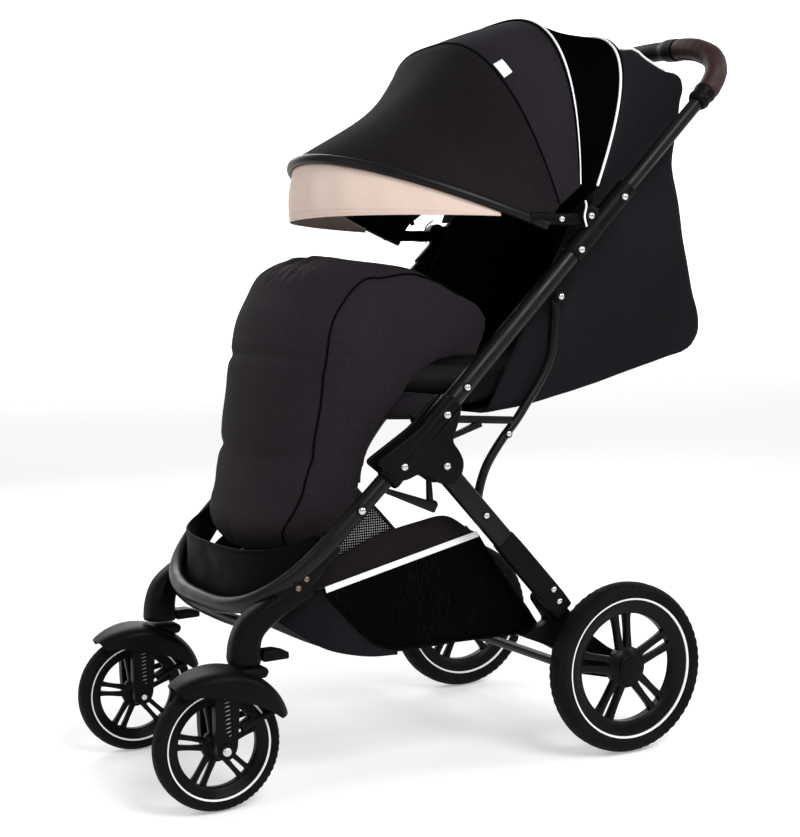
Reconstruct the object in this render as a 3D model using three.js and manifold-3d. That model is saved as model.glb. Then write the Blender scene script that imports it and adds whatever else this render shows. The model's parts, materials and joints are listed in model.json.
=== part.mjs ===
// Folding baby stroller with a telescoping handle, a fan canopy and swivelling front wheels.
// Millimetres, +Z up, -Y is forward, +X is the stroller's left side.
// Shapes are laid out from the rear axle (y = 0 at the axle, z = 0 on the floor), and one
// group moves everything back so that the origin lies under the middle of the whole box.
import * as THREE from 'three';
import { mergeVertices } from 'three/addons/utils/BufferGeometryUtils.js';
import Module from 'manifold-3d';

const wasm = await Module();
wasm.setup();

// ---- driving dimensions -------------------------------------------------------------
const GAP = 0.3; // clearance kept between touching pieces
const FRAME_X = 225.4; // the side tubes' distance from the middle
const TUBE_R = 13;
const REAR_R = 122.5; // rear tyre
const REAR_X = 244.3;
const REAR_HALF_W = 20.3;
const FRONT_R = 86.6; // front tyre
const FRONT_X = 174;
const FRONT_HALF_W = 17;
const STEM_Y = -556; // caster swivel axis
const FRONT_AXLE_Y = -599;
const AXLE_SHIFT = 228.9; // from the rear axle back to the middle of the box
const FOLD_PIVOT = [-277, 503]; // y, z of the handle frame's pivot
const LEG_PIVOT = [-280, 434];
const TUBE_ANGLE = THREE.MathUtils.degToRad(44.1); // the handle tubes' slope
const TUBE_LENGTH = 437; // from the fold pivot to the sleeve's mouth
const INNER_R = 10.3;
const BORE_R = 10.9;
const HUB_PIVOT = [-33, 767]; // the canopy's pivot
const SEAT_HALF = 165;
const SEAT_REAR = [-212, 505];
const BACK_ANGLE = THREE.MathUtils.degToRad(12.5); // reclined
const SKIRT_HALF = 189;
const ARCH_STEPS = 16;

const LEG_THICK = 22; // flattened tube ends and rear legs, along X
const DIR = [Math.cos(TUBE_ANGLE), Math.sin(TUBE_ANGLE)];

// ---- colours ---------------------------------------------------------------------------
const LOOKS = {
  frame: [0x151517, 0.35, 0.6],
  plastic: [0x101012, 0.55, 0],
  tyre: [0x141415, 0.85, 0],
  rim: [0x0e0e10, 0.4, 0.1],
  steel: [0xb9bbc0, 0.25, 0.9],
  leather: [0x35180f, 0.5, 0],
  fabric: [0x232127, 0.95, 0],
  visor: [0xd8cab4, 0.95, 0],
  mesh: [0x0b0b0c, 0.95, 0],
  band: [0x111113, 0.4, 0],
};

const stroller = new THREE.Group();
const layout = new THREE.Group();
layout.position.y = AXLE_SHIFT;
stroller.add(layout);

function add(name, geometry, look) {
  const [color, roughness, metalness] = LOOKS[look];
  const mesh = new THREE.Mesh(geometry, new THREE.MeshStandardMaterial({ color, roughness, metalness }));
  mesh.name = name;
  layout.add(mesh);
}

// Adds a left piece and its mirror image on the right.
function addPair(name, geometry, look) {
  add(`left_${name}`, geometry, look);
  add(`right_${name}`, mirrored(geometry), look);
}

// ---- geometry tools -----------------------------------------------------------------
function onlyPositions(geometry) {
  const bare = geometry.clone();
  for (const key of Object.keys(bare.attributes)) {
    if (key !== 'position') bare.deleteAttribute(key);
  }
  return mergeVertices(bare, 1e-4);
}

function mirrored(geometry) {
  const flat = onlyPositions(geometry);
  flat.scale(-1, 1, 1);
  const index = Array.from(flat.index.array);
  for (let i = 0; i < index.length; i += 3) {
    [index[i + 1], index[i + 2]] = [index[i + 2], index[i + 1]];
  }
  flat.setIndex(index);
  flat.computeVertexNormals();
  return flat;
}

function solid(geometry) {
  const flat = onlyPositions(geometry);
  return new wasm.Manifold(new wasm.Mesh({
    numProp: 3,
    vertProperties: new Float32Array(flat.attributes.position.array),
    triVerts: new Uint32Array(flat.index.array),
  }));
}

function geometryOf(body) {
  const mesh = body.getMesh();
  const geometry = new THREE.BufferGeometry();
  geometry.setAttribute('position', new THREE.BufferAttribute(new Float32Array(mesh.vertProperties), 3));
  geometry.setIndex(Array.from(mesh.triVerts));
  geometry.computeVertexNormals();
  return geometry;
}

function join(...parts) {
  return geometryOf(parts.map(solid).reduce((a, b) => a.add(b)));
}

function cut(base, ...holes) {
  return geometryOf(holes.map(solid).reduce((a, b) => a.subtract(b), solid(base)));
}

// A plate with its outline in (y, z), its middle at x and its thickness along X.
function plate(outline, thickness, x) {
  const shape = new THREE.Shape(outline.map(([y, z]) => new THREE.Vector2(y, z)));
  const geometry = new THREE.ExtrudeGeometry(shape, { depth: thickness, bevelEnabled: false });
  const toRow = new THREE.Matrix4().makeBasis(
    new THREE.Vector3(0, 1, 0), new THREE.Vector3(0, 0, 1), new THREE.Vector3(1, 0, 0));
  geometry.applyMatrix4(toRow);
  geometry.translate(x - thickness / 2, 0, 0);
  return geometry;
}

// A round bar along X between x0 and x1, centred on (y, z).
function barX(x0, x1, y, z, r, sides = 16) {
  const geometry = new THREE.CylinderGeometry(r, r, x1 - x0, sides);
  geometry.rotateZ(-Math.PI / 2);
  geometry.translate((x0 + x1) / 2, y, z);
  return geometry;
}

// A straight round bar between two points.
function bar(from, to, r, sides = 12) {
  const a = new THREE.Vector3(...from);
  const b = new THREE.Vector3(...to);
  const geometry = new THREE.CylinderGeometry(r, r, a.distanceTo(b), sides);
  const along = b.clone().sub(a).normalize();
  geometry.applyQuaternion(new THREE.Quaternion().setFromUnitVectors(new THREE.Vector3(0, 1, 0), along));
  geometry.translate(...a.add(b).multiplyScalar(0.5).toArray());
  return geometry;
}

// A closed round tube along a smooth curve.
function bent(points, r, steps, sides = 12) {
  const curve = new THREE.CatmullRomCurve3(points.map((p) => new THREE.Vector3(...p)), false, 'centripetal');
  const ring = [];
  for (let i = 0; i < sides; i += 1) {
    const a = (2 * Math.PI * i) / sides;
    ring.push(new THREE.Vector2(r * Math.cos(a), r * Math.sin(a)));
  }
  return new THREE.ExtrudeGeometry(new THREE.Shape(ring), { steps, extrudePath: curve, bevelEnabled: false });
}

// A ring turned about the X axis: profile points are (radius, x).
function turned(profile, x, y, z, segments) {
  const points = profile.map(([radius, along]) => new THREE.Vector2(radius, along));
  const geometry = new THREE.LatheGeometry([...points, points[0].clone()], segments);
  geometry.rotateZ(-Math.PI / 2);
  geometry.translate(x, y, z);
  return geometry;
}

// A closed shell from point(u, v, side): side 0 is the outer skin and 1 the inner one.
function shell(point, uSteps, vSteps) {
  const positions = [];
  const index = [];
  const row = vSteps + 1;
  const layer = (uSteps + 1) * row;
  for (let side = 0; side < 2; side += 1) {
    for (let i = 0; i <= uSteps; i += 1) {
      for (let j = 0; j <= vSteps; j += 1) positions.push(...point(i / uSteps, j / vSteps, side));
    }
  }
  const quad = (a, b, c, d) => index.push(a, b, c, a, c, d);
  const at = (i, j, side) => side * layer + i * row + j;
  for (let i = 0; i < uSteps; i += 1) {
    for (let j = 0; j < vSteps; j += 1) {
      quad(at(i, j, 0), at(i + 1, j, 0), at(i + 1, j + 1, 0), at(i, j + 1, 0));
      quad(at(i, j, 1), at(i, j + 1, 1), at(i + 1, j + 1, 1), at(i + 1, j, 1));
    }
  }
  for (let i = 0; i < uSteps; i += 1) {
    quad(at(i, 0, 0), at(i, 0, 1), at(i + 1, 0, 1), at(i + 1, 0, 0));
    quad(at(i, vSteps, 0), at(i + 1, vSteps, 0), at(i + 1, vSteps, 1), at(i, vSteps, 1));
  }
  for (let j = 0; j < vSteps; j += 1) {
    quad(at(0, j, 0), at(0, j + 1, 0), at(0, j + 1, 1), at(0, j, 1));
    quad(at(uSteps, j, 0), at(uSteps, j, 1), at(uSteps, j + 1, 1), at(uSteps, j + 1, 0));
  }
  const geometry = new THREE.BufferGeometry();
  geometry.setAttribute('position', new THREE.Float32BufferAttribute(positions, 3));
  geometry.setIndex(index);
  if (volume(geometry) < 0) {
    for (let i = 0; i < index.length; i += 3) [index[i + 1], index[i + 2]] = [index[i + 2], index[i + 1]];
    geometry.setIndex(index);
  }
  geometry.computeVertexNormals();
  return geometry;
}

function volume(geometry) {
  const p = geometry.attributes.position;
  const corner = (i) => new THREE.Vector3().fromBufferAttribute(p, geometry.index.getX(i));
  let sum = 0;
  for (let i = 0; i < geometry.index.count; i += 3) sum += corner(i).dot(corner(i + 1).cross(corner(i + 2)));
  return sum / 6;
}

const power = (value, n) => Math.sign(value) * Math.abs(value) ** (2 / n);
const mix = (a, b, t) => a + (b - a) * t;

// A disc outline (y, z) for plates and knuckles.
function discOutline([y, z], r, sides = 16) {
  const out = [];
  for (let i = 0; i < sides; i += 1) {
    const a = (2 * Math.PI * i) / sides;
    out.push([y + r * Math.cos(a), z + r * Math.sin(a)]);
  }
  return out;
}

// The point (y, z) at a distance along the handle tube from the fold pivot, and off to its side.
function onTube(along, side = 0) {
  return [
    FOLD_PIVOT[0] + DIR[0] * along - DIR[1] * side,
    FOLD_PIVOT[1] + DIR[1] * along + DIR[0] * side,
  ];
}

// ---- hubs: a cheek plate on each side of the frame tubes ----------------------------------
const CHEEK = 6;
const KNUCKLE = 26.2; // room between the cheeks for the tube ends
const cheekX = KNUCKLE / 2 + GAP + CHEEK / 2;
const hubOutline = [
  [-318, 488], [-272, 532], [-258, 522], [-254, 506], [-262, 484], [-274, 467],
  [-262, 456], [-253, 438], [-258, 420], [-272, 411], [-286, 411], [-304, 422],
  [-322, 428], [-338, 421], [-354, 420], [-386, 446],
];

function hubCheek(x) {
  return cut(
    plate(hubOutline, CHEEK, x),
    barX(x - CHEEK, x + CHEEK, ...FOLD_PIVOT, 4.3),
  );
}

function pivotPin([y, z]) {
  const half = KNUCKLE / 2 + GAP + CHEEK;
  const head = 3.5;
  const nut = 2; // thinner, so that the side strut passes it
  return join(
    barX(FRAME_X - half - nut, FRAME_X + half + head, y, z, 4),
    barX(FRAME_X + half + GAP, FRAME_X + half + head, y, z, 6.5),
    barX(FRAME_X - half - nut, FRAME_X - half - GAP, y, z, 6.5),
  );
}

addPair('hub_outer_cover', hubCheek(FRAME_X + cheekX), 'plastic');
addPair('hub_inner_cover', hubCheek(FRAME_X - cheekX), 'plastic');
addPair('fold_pivot_pin', pivotPin(FOLD_PIVOT), 'steel');

// ---- front frame: one tube, from hub to hub round the rounded footrest loop ---------------
const RIM_START = [-400, 388];
const RIM_FRONT = [-550, 250];
const RIM_R = 11.5;

function rimPoint(angle) {
  const lift = power(Math.sin(angle), 3);
  return [
    FRAME_X * power(Math.cos(angle), 3),
    mix(RIM_START[0], RIM_FRONT[0], lift),
    mix(RIM_START[1], RIM_FRONT[1], lift),
  ];
}

function frontTube() {
  const points = [[FRAME_X, -362, 423]];
  for (let i = 0; i <= 18; i += 1) points.push(rimPoint((Math.PI * i) / 18));
  points.push([-FRAME_X, -362, 423]);
  const tongue = [[-304, 452], [-338, 452], [-368, 430], [-360, 416], [-330, 437], [-312, 437]];
  return join(
    bent(points, RIM_R, 44),
    plate(tongue, LEG_THICK, FRAME_X),
    plate(tongue, LEG_THICK, -FRAME_X),
  );
}

add('front_frame_tube', frontTube(), 'frame');

// ---- front legs: an arm under the lower tube that turns down into the caster stem -------
const LEG_BOTTOM = 197;
const STEM_R = 21;

function frontLeg() {
  const arm = plate([
    [-468, 287], [-500, 275], [-528, 254], [-552, 249], [-572, 240], [-577, 215],
    [-577, LEG_BOTTOM], [-535, LEG_BOTTOM], [-532, 222], [-500, 246], [-460, 272],
  ], 38, FRONT_X + 9);
  const housing = bar([FRONT_X, STEM_Y, LEG_BOTTOM], [FRONT_X, STEM_Y, 236], STEM_R, 20);
  const bore = bar([FRONT_X, STEM_Y, LEG_BOTTOM - 5], [FRONT_X, STEM_Y, 226], 6.6, 12);
  return cut(join(arm, housing), bore);
}

addPair('front_leg', frontLeg(), 'plastic');

// The lever behind the stem that locks the swivel.
function swivelLock() {
  const outline = [[-531, 216], [-512, 213], [-502, 206], [-502, 199], [-530.5, 199]];
  return plate(outline, 22, FRONT_X);
}
// ---- casters ----------------------------------------------------------------------------
const FORK_TOP = 191.6;
const ARM_IN = 21.5;
const ARM_OUT = 39;
const FENDER_R = 104;

function casterFork() {
  const crown = plate([[-590, FORK_TOP], [-588, FORK_TOP + 3], [-576, FORK_TOP + 4.6],
    [-538, FORK_TOP + 4.6], [-536, FORK_TOP]], 2 * ARM_OUT, FRONT_X);
  const stem = bar([FRONT_X, STEM_Y, FORK_TOP], [FRONT_X, STEM_Y, 225], 6.1, 12);
  const arms = [-1, 1].map((side) => {
    const middle = FRONT_X + side * (ARM_IN + ARM_OUT) / 2;
    return plate([
      [FRONT_AXLE_Y - 13, 78], [FRONT_AXLE_Y + 8, 74], [FRONT_AXLE_Y + 16, 88],
      [FRONT_AXLE_Y + 24, 166], [-538, 184], [-538, FORK_TOP + 1], [-588, FORK_TOP + 1],
      [FRONT_AXLE_Y - 6, 182], [FRONT_AXLE_Y - 14, 160],
    ], ARM_OUT - ARM_IN, middle);
  });
  const axle = barX(FRONT_X - ARM_OUT - 5, FRONT_X + ARM_OUT + 5, FRONT_AXLE_Y, FRONT_R, 4, 12);
  return join(crown, stem, ...arms, axle);
}

function fender() {
  const half = 19;
  const turn = THREE.MathUtils.degToRad;
  const steps = 9;
  const arc = (r, k) => {
    const a = turn(mix(114, 22, k / steps));
    return [FRONT_AXLE_Y + r * Math.cos(a), FRONT_R + r * Math.sin(a)];
  };
  const outline = [];
  for (let k = 0; k <= steps; k += 1) outline.push(arc(FENDER_R, k));
  for (let k = steps; k >= 0; k -= 1) outline.push(arc(FENDER_R - 3, k));
  return plate(outline, 2 * half, FRONT_X);
}

const FRONT_TYRE = [
  [0.80, -0.62], [0.90, -1], [0.965, -0.78], [1, -0.28], [1, 0.28], [0.965, 0.78], [0.90, 1], [0.80, 0.62],
];

function tyre(radius, half, x, y) {
  return turned(FRONT_TYRE.map(([r, w]) => [r * radius, w * half]), x, y, radius, 28);
}

// A five-spoke wheel: rim ring, twin spokes and hub, bored for its axle.
function wheelRim(radius, half, x, y, bore) {
  const outer = radius * 0.8 - GAP;
  const width = half * 0.62;
  const band = [[outer - 9, -width], [outer, -width], [outer, width], [outer - 9, width]];
  const ring = turned(band, 0, 0, 0, 28);
  const hub = barX(-width - 3, width + 3, 0, 0, radius * 0.16, 14);
  const spokes = [];
  for (let i = 0; i < 5; i += 1) {
    const a = (2 * Math.PI * i) / 5 + Math.PI / 2;
    for (const side of [-1, 1]) {
      const geometry = new THREE.BoxGeometry(width * 1.1, outer - 10, radius * 0.07);
      geometry.translate(0, (outer - 6) / 2 + 4, side * radius * 0.075);
      geometry.rotateX(a);
      spokes.push(geometry);
    }
  }
  const body = cut(join(ring, hub, ...spokes), barX(-half * 2, half * 2, 0, 0, bore, 12));
  body.translate(x, y, radius);
  return body;
}

addPair('caster_fork', casterFork(), 'plastic');
addPair('front_fender', fender(), 'plastic');
addPair('swivel_lock', swivelLock(), 'plastic');
addPair('front_tyre', tyre(FRONT_R, FRONT_HALF_W, FRONT_X, FRONT_AXLE_Y), 'tyre');
addPair('front_rim', wheelRim(FRONT_R, FRONT_HALF_W, FRONT_X, FRONT_AXLE_Y, 4.5), 'rim');

// ---- rear wheels, legs, axle and brake ----------------------------------------------------
const AXLE_R = 6;
const LEG_END = [-92, 214];

// A flat bar (y, z) from one point to another with a half width.
function strip([y0, z0], [y1, z1], half) {
  const length = Math.hypot(y1 - y0, z1 - z0);
  const n = [(-(z1 - z0) / length) * half, ((y1 - y0) / length) * half];
  return [[y0 + n[0], z0 + n[1]], [y0 - n[0], z0 - n[1]], [y1 - n[0], z1 - n[1]], [y1 + n[0], z1 + n[1]]];
}

function rearLeg() {
  const beam = plate(strip(LEG_PIVOT, LEG_END, 16.5), LEG_THICK, FRAME_X);
  const knuckle = plate(discOutline(LEG_PIVOT, 17), LEG_THICK, FRAME_X);
  return join(beam, knuckle);
}

// The moulded foot of the leg, which steps inboard of the tyre and holds the axle.
function axleBracket() {
  const x = 202;
  const web = plate([
    [-128, 232], [-98, 190], [-150, 180], [-104, 162], [-20, 108], [4, 106], [14, 118], [12, 134],
    [-4, 142], [-40, 170], [-92, 232], [-110, 244],
  ], 20, x);
  return cut(web, barX(x - 30, x + 30, 0, REAR_R, AXLE_R + 0.4, 16));
}

const rearAxle = barX(-262, 262, 0, REAR_R, AXLE_R, 16);

function brakePedal() {
  const tube = barX(-190, 190, -44, 114, 7, 12);
  const step = plate(strip([-44, 112], [40, 88], 4), 60, 150);
  return join(tube, step);
}

addPair('rear_leg', rearLeg(), 'frame');
addPair('axle_bracket', axleBracket(), 'plastic');
add('rear_axle', rearAxle, 'steel');
add('brake_pedal', brakePedal(), 'plastic');
addPair('rear_tyre', tyre(REAR_R, REAR_HALF_W, REAR_X, 0), 'tyre');
addPair('rear_rim', wheelRim(REAR_R, REAR_HALF_W, REAR_X, 0, AXLE_R + 0.4), 'rim');

// ---- handle frame: hollow upper tubes in plastic sleeves ------------------------------------
const SLEEVE_START = 300;

function upperTube() {
  const at = (s) => [FRAME_X, ...onTube(s)];
  const outer = bar(at(6), at(TUBE_LENGTH - 2), TUBE_R, 14);
  const bore = bar(at(150), at(TUBE_LENGTH + 5), BORE_R, 14);
  const knuckle = plate(discOutline(FOLD_PIVOT, 13), LEG_THICK, FRAME_X);
  const pin = barX(FRAME_X - 30, FRAME_X + 30, ...FOLD_PIVOT, 4.3);
  return cut(join(outer, knuckle), bore, pin);
}

// The sleeve carries the canopy hub above it and a lug below it for the side strut.
function upperSleeve() {
  const at = (s) => [FRAME_X, ...onTube(s)];
  const body = bar(at(SLEEVE_START), at(TUBE_LENGTH), TUBE_R + 2.4, 16);
  const lug = plate([onTube(312, 10), onTube(252, -22), onTube(244, -38), onTube(258, -44),
    onTube(330, -12)], 6, FRAME_X - 16);
  const boss = plate(strip(onTube(352, 4), HUB_PIVOT, 9), 12, FRAME_X);
  const knob = barX(FRAME_X - 8, FRAME_X + 12, ...HUB_PIVOT, 15, 20);
  const bore = bar(at(SLEEVE_START - 5), at(TUBE_LENGTH + 5), TUBE_R + GAP, 16);
  return cut(join(body, lug, boss, knob), bore);
}

addPair('upper_tube', upperTube(), 'frame');
addPair('upper_sleeve', upperSleeve(), 'plastic');

// The S-shaped strut from the sleeve's lug down beside the rear leg.
const STRUT_X = 197;
const STRUT_TOP = onTube(250, -33);
const strutPath = [
  STRUT_TOP, [-71, 642], [-74, 610], [-80, 573], [-98, 540], [-123, 508], [-142, 484], [-163, 462],
  [-186, 433], [-198, 411], [-206, 386], [-208, 368],
].map(([y, z]) => [STRUT_X, y, z]);
addPair('side_strut', bent(strutPath, 6, 22, 10), 'frame');

// ---- telescoping handle -----------------------------------------------------------------------
const COLLAR_START = 612;
const CENTRE_HALF = 126;

function handleTube() {
  const at = (s) => [FRAME_X, ...onTube(s)];
  const stem = bar(at(360), at(COLLAR_START + 2), INNER_R, 14);
  const collar = bar(at(COLLAR_START), at(COLLAR_START + 26), 16, 16);
  return join(stem, collar);
}

const gripPath = [
  [FRAME_X, ...onTube(COLLAR_START + 26.6)], [FRAME_X, ...onTube(COLLAR_START + 37)],
  [222.5, 204, 978], [206, 212, 1002],
  [176, 211, 1018], [150, 210, 1024], [CENTRE_HALF + 1.6, 209, 1026],
];
const centrePath = [-CENTRE_HALF, -70, 0, 70, CENTRE_HALF].map((x) => [
  x, mix(209, 206, 1 - Math.abs(x) / CENTRE_HALF), mix(1026, 1033, 1 - (x / CENTRE_HALF) ** 2),
]);

function handleCentre() {
  const pocket = new THREE.BoxGeometry(34, 20, 26); // deeper than the button, for its travel
  pocket.translate(0, 217.3, 1033);
  return cut(bent(centrePath, 15, 12, 14), pocket);
}

const foldButton = new THREE.BoxGeometry(32, 12, 22);
foldButton.translate(0, 217, 1033);

addPair('handle_tube', handleTube(), 'frame');
addPair('handle_grip', bent(gripPath, 15.5, 16, 14), 'leather');
add('handle_centre', handleCentre(), 'plastic');
add('fold_button', foldButton, 'plastic');

// The bar between the two front legs.
const crossBarHalf = [[163, -528, 234], [90, -533, 230]];
const crossBarPath = [...crossBarHalf, [0, -535, 229], [-90, -533, 230], [-163, -528, 234]];
add('front_cross_bar', bent(crossBarPath, 8, 16, 12), 'frame');

// ---- canopy: four arched bows from the hub, with fabric panels over them ------------------------
// Each arch: foot and crown in (y, z), half width, and squareness across and upwards.
const FRONT_ARCH = { foot: [-98, 753], crown: [-369, 864], half: 228, n: 2.12, rise: 1.65 };
const SECOND_ARCH = { foot: [-76, 772], crown: [-156, 1028], half: 226, n: 2.8, rise: 2.1 };
const THIRD_ARCH = { foot: [-42, 785], crown: [-36, 1066], half: 221, n: 2.78, rise: 2.73 };
const REAR_ARCH = { foot: [-25, 783], crown: [87, 1045], half: 222, n: 2.8, rise: 2.8 };

function archPoint(arch, angle, inset = 0) {
  const lift = power(Math.sin(angle), arch.rise);
  const length = Math.hypot(arch.crown[0] - arch.foot[0], arch.crown[1] - arch.foot[1]);
  const reach = (length - inset) / length;
  return [
    (arch.half - inset) * power(Math.cos(angle), arch.n),
    mix(arch.foot[0], arch.crown[0], lift * reach),
    mix(arch.foot[1], arch.crown[1], lift * reach),
  ];
}

function bow(arch, inset, r, lift = 0.03) {
  const points = [];
  for (let i = 0; i <= 12; i += 1) points.push(archPoint(arch, mix(lift, Math.PI - lift, i / 12), inset));
  return bent(points, r, 20, 8);
}

// A fabric panel between two arches, swelling outwards or drawn inwards between them.
function panel(front, rear, swell) {
  const thickness = 2.4;
  const trim = 0.004; // keeps it clear of the neighbouring panels
  return shell((u, v, side) => {
    const angle = mix(0.05, Math.PI - 0.05, u);
    const t = mix(trim, 1 - trim, v);
    const crown = swell * Math.sin(Math.PI * t) * Math.sin(angle) ** 3 - side * thickness;
    const a = archPoint(front, angle, -crown);
    const b = archPoint(rear, angle, -crown);
    return [0, 1, 2].map((k) => mix(a[k], b[k], t));
  }, ARCH_STEPS, 2);
}

const bowInset = 9;
add('canopy_front_bow', bow(FRONT_ARCH, bowInset + 2, 5), 'plastic');
add('canopy_second_bow', bow(SECOND_ARCH, bowInset, 3.5), 'plastic');
add('canopy_third_bow', bow(THIRD_ARCH, bowInset, 3.5), 'plastic');
add('canopy_rear_bow', bow(REAR_ARCH, bowInset, 3.5), 'plastic');
add('canopy_front_panel', panel(FRONT_ARCH, SECOND_ARCH, -15), 'fabric');
add('canopy_middle_panel', panel(SECOND_ARCH, THIRD_ARCH, 3), 'fabric');
add('canopy_vent_panel', panel(THIRD_ARCH, REAR_ARCH, -3), 'mesh');

// The cream peak that hangs from the front bow.
const visor = shell((u, v, side) => {
  const angle = mix(0.36, Math.PI - 0.36, u);
  const top = archPoint(FRONT_ARCH, angle, 2 + side * 2);
  const hem = 766 + 16 * Math.sin(angle);
  return [top[0], top[1] - 4 * v, mix(top[2] - 6, hem, v)];
}, ARCH_STEPS, 2);
add('canopy_visor', visor, 'visor');

// ---- seat -----------------------------------------------------------------------------------------
const seatOutline = [
  [-214, 488], [-216, 520], [-236, 526], [-392, 536], [-408, 526], [-408, 506], [-392, 498],
];
add('seat_cushion', plate(seatOutline, 2 * SEAT_HALF, 0), 'fabric');

// The backrest lies almost flat; its outline is laid out along its own length.
function backrest() {
  const along = [Math.cos(BACK_ANGLE), Math.sin(BACK_ANGLE)];
  const at = (s, side) => [
    SEAT_REAR[0] + along[0] * s - along[1] * side,
    SEAT_REAR[1] + along[1] * s + along[0] * side,
  ];
  const outline = [at(8, -6), at(380, -6), at(388, 2), at(388, 20), at(376, 32), at(24, 32), at(10, 20)];
  return plate(outline, 2 * SEAT_HALF, 0);
}
add('backrest', backrest(), 'fabric');

// The tent of fabric behind the seat: two side walls, the rear wall and the roof.
function backCover() {
  const outline = [
    [-180, 490], [160, 566], [176, 574], [183, 590], [182, 612], [174, 658], [160, 742], [150, 838],
    [158, 925], [165, 950], [160, 966], [152, 988], [128, 1008], [100, 1016], [84, 1000], [4, 790], [-22, 775],
    [-60, 690], [-150, 560],
  ];
  const inner = [
    [-400, 400], [154, 540], [169, 574], [177, 590], [176, 612], [168, 658], [154, 742], [144, 838],
    [152, 925], [158, 950], [154, 965], [146, 984], [124, 1002], [94, 1030], [-300, 1030],
  ];
  return cut(plate(outline, 2 * SKIRT_HALF, 0), plate(inner, 2 * (SKIRT_HALF - 5), 0));
}
add('seat_back_cover', backCover(), 'fabric');

// Bars beside the struts, from the hubs back under the seat.
addPair('seat_bar', bar([207.8, -160, 487], [207.8, -250, 493], 4, 10), 'frame');

const calfRest = plate([[-412, 494], [-398, 486], [-440, 346], [-456, 350]], 250, 0);
add('calf_rest', calfRest, 'fabric');

// ---- footmuff: a shell fanned about a line above the seat, open at the top and the foot -------------
const MUFF_PIVOT = [-215, 500];
const MUFF_HALF = 187;
const MUFF_WALL = 9;
const muffStations = [ // degrees from +Y, rear edge, seam radius, bulge of the front, half width at the seam
  [217, 215, 318, 20, 120], [209, 185, 308, 28, 138], [203, 165, 270, 32, 163], [195, 145, 246, 34, 171],
  [188, 137, 233, 34, 176], [178, 110, 223, 34, 178], [166, 96, 221, 34, 180], [154, 90, 226, 34, 180],
  [146, 87, 231, 36, 179], [138, 85, 238, 40, 177], [131, 82, 240, 48, 176], [125, 80, 237, 42, 176],
  [120, 79, 228, 30, 177], [112, 78, 216, 16, 178], [104, 77, 203, 10, 179], [96, 76, 190, 6, 180],
  [84, 76, 168, 3, 181],
];

function muffAt(v) {
  const place = v * (muffStations.length - 1);
  const low = Math.min(Math.floor(place), muffStations.length - 2);
  return muffStations[low].map((value, k) => mix(value, muffStations[low + 1][k], place - low));
}

// One section of the muff: up a side from its rear edge to the seam, then over the front.
function muffSection([, rear, seam, bulge, half], u, inset) {
  const share = 1 - Math.abs(2 * u - 1);
  const sideShare = 0.4;
  if (share <= sideShare) {
    const t = share / sideShare;
    return [mix(MUFF_HALF, half, t * t) - inset, mix(rear, seam - inset, t)];
  }
  const t = (share - sideShare) / (1 - sideShare);
  return [(half - inset) * (1 - t), seam - inset + bulge * (1 - (1 - t) ** 2.2)];
}

const footmuff = shell((u, v, side) => {
  const station = muffAt(v);
  const a = THREE.MathUtils.degToRad(station[0]);
  const [x, r] = muffSection(station, u, MUFF_WALL * side);
  return [u < 0.5 ? x : -x, MUFF_PIVOT[0] + r * Math.cos(a), MUFF_PIVOT[1] + r * Math.sin(a)];
}, 20, muffStations.length - 1);
add('footmuff', footmuff, 'fabric');

// ---- footrest band: a strip wrapped inside the footrest bar ------------------------------------------
const band = shell((u, v, side) => {
  const angle = mix(0.35, Math.PI - 0.35, u);
  const [x, y, z] = rimPoint(angle);
  const inward = RIM_R + 2.4 + side * 3;
  const reach = Math.hypot(x, y - RIM_START[0]);
  const scale = (reach - inward) / reach;
  const lean = mix(1, 0.99, v);
  const height = mix(14, 80, Math.sin(angle));
  return [x * scale * lean, RIM_START[0] + (y - RIM_START[0]) * scale, z + v * height];
}, ARCH_STEPS, 2);
add('footrest_band', band, 'band');

// ---- basket: an open-topped bag slung between the lower tubes and the rear legs -----------------------
function basket() {
  const half = 186;
  const nose = 158;
  const wall = 2.4;
  const body = [
    [-452, 204], [-430, 192], [-372, 176], [-300, 172], [-112, 176], [-124, 208], [-196, 300],
    [-226, 344], [-300, 326], [-452, 280],
  ];
  const front = [[-508, 258], [-484, 224], [-440, 196], [-440, 284], [-490, 266]];
  const bodyInside = [
    [-449, 206], [-428, 194.8], [-372, 178.6], [-300, 174.6], [-117, 178.6], [-128, 210],
    [-222, 420], [-449, 420],
  ];
  const frontInside = [[-503, 262], [-481, 227], [-435, 199], [-435, 420], [-503, 420]];
  const outer = join(plate(body, 2 * half, 0), plate(front, 2 * nose, 0));
  const inner = join(plate(bodyInside, 2 * (half - wall), 0), plate(frontInside, 2 * (nose - wall), 0));
  return cut(outer, inner);
}
add('basket', basket(), 'mesh');

export default stroller;
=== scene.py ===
import json
import math
import bmesh
import bpy
import numpy as np
from mathutils import Matrix, Vector
from mathutils.bvhtree import BVHTree


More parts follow.
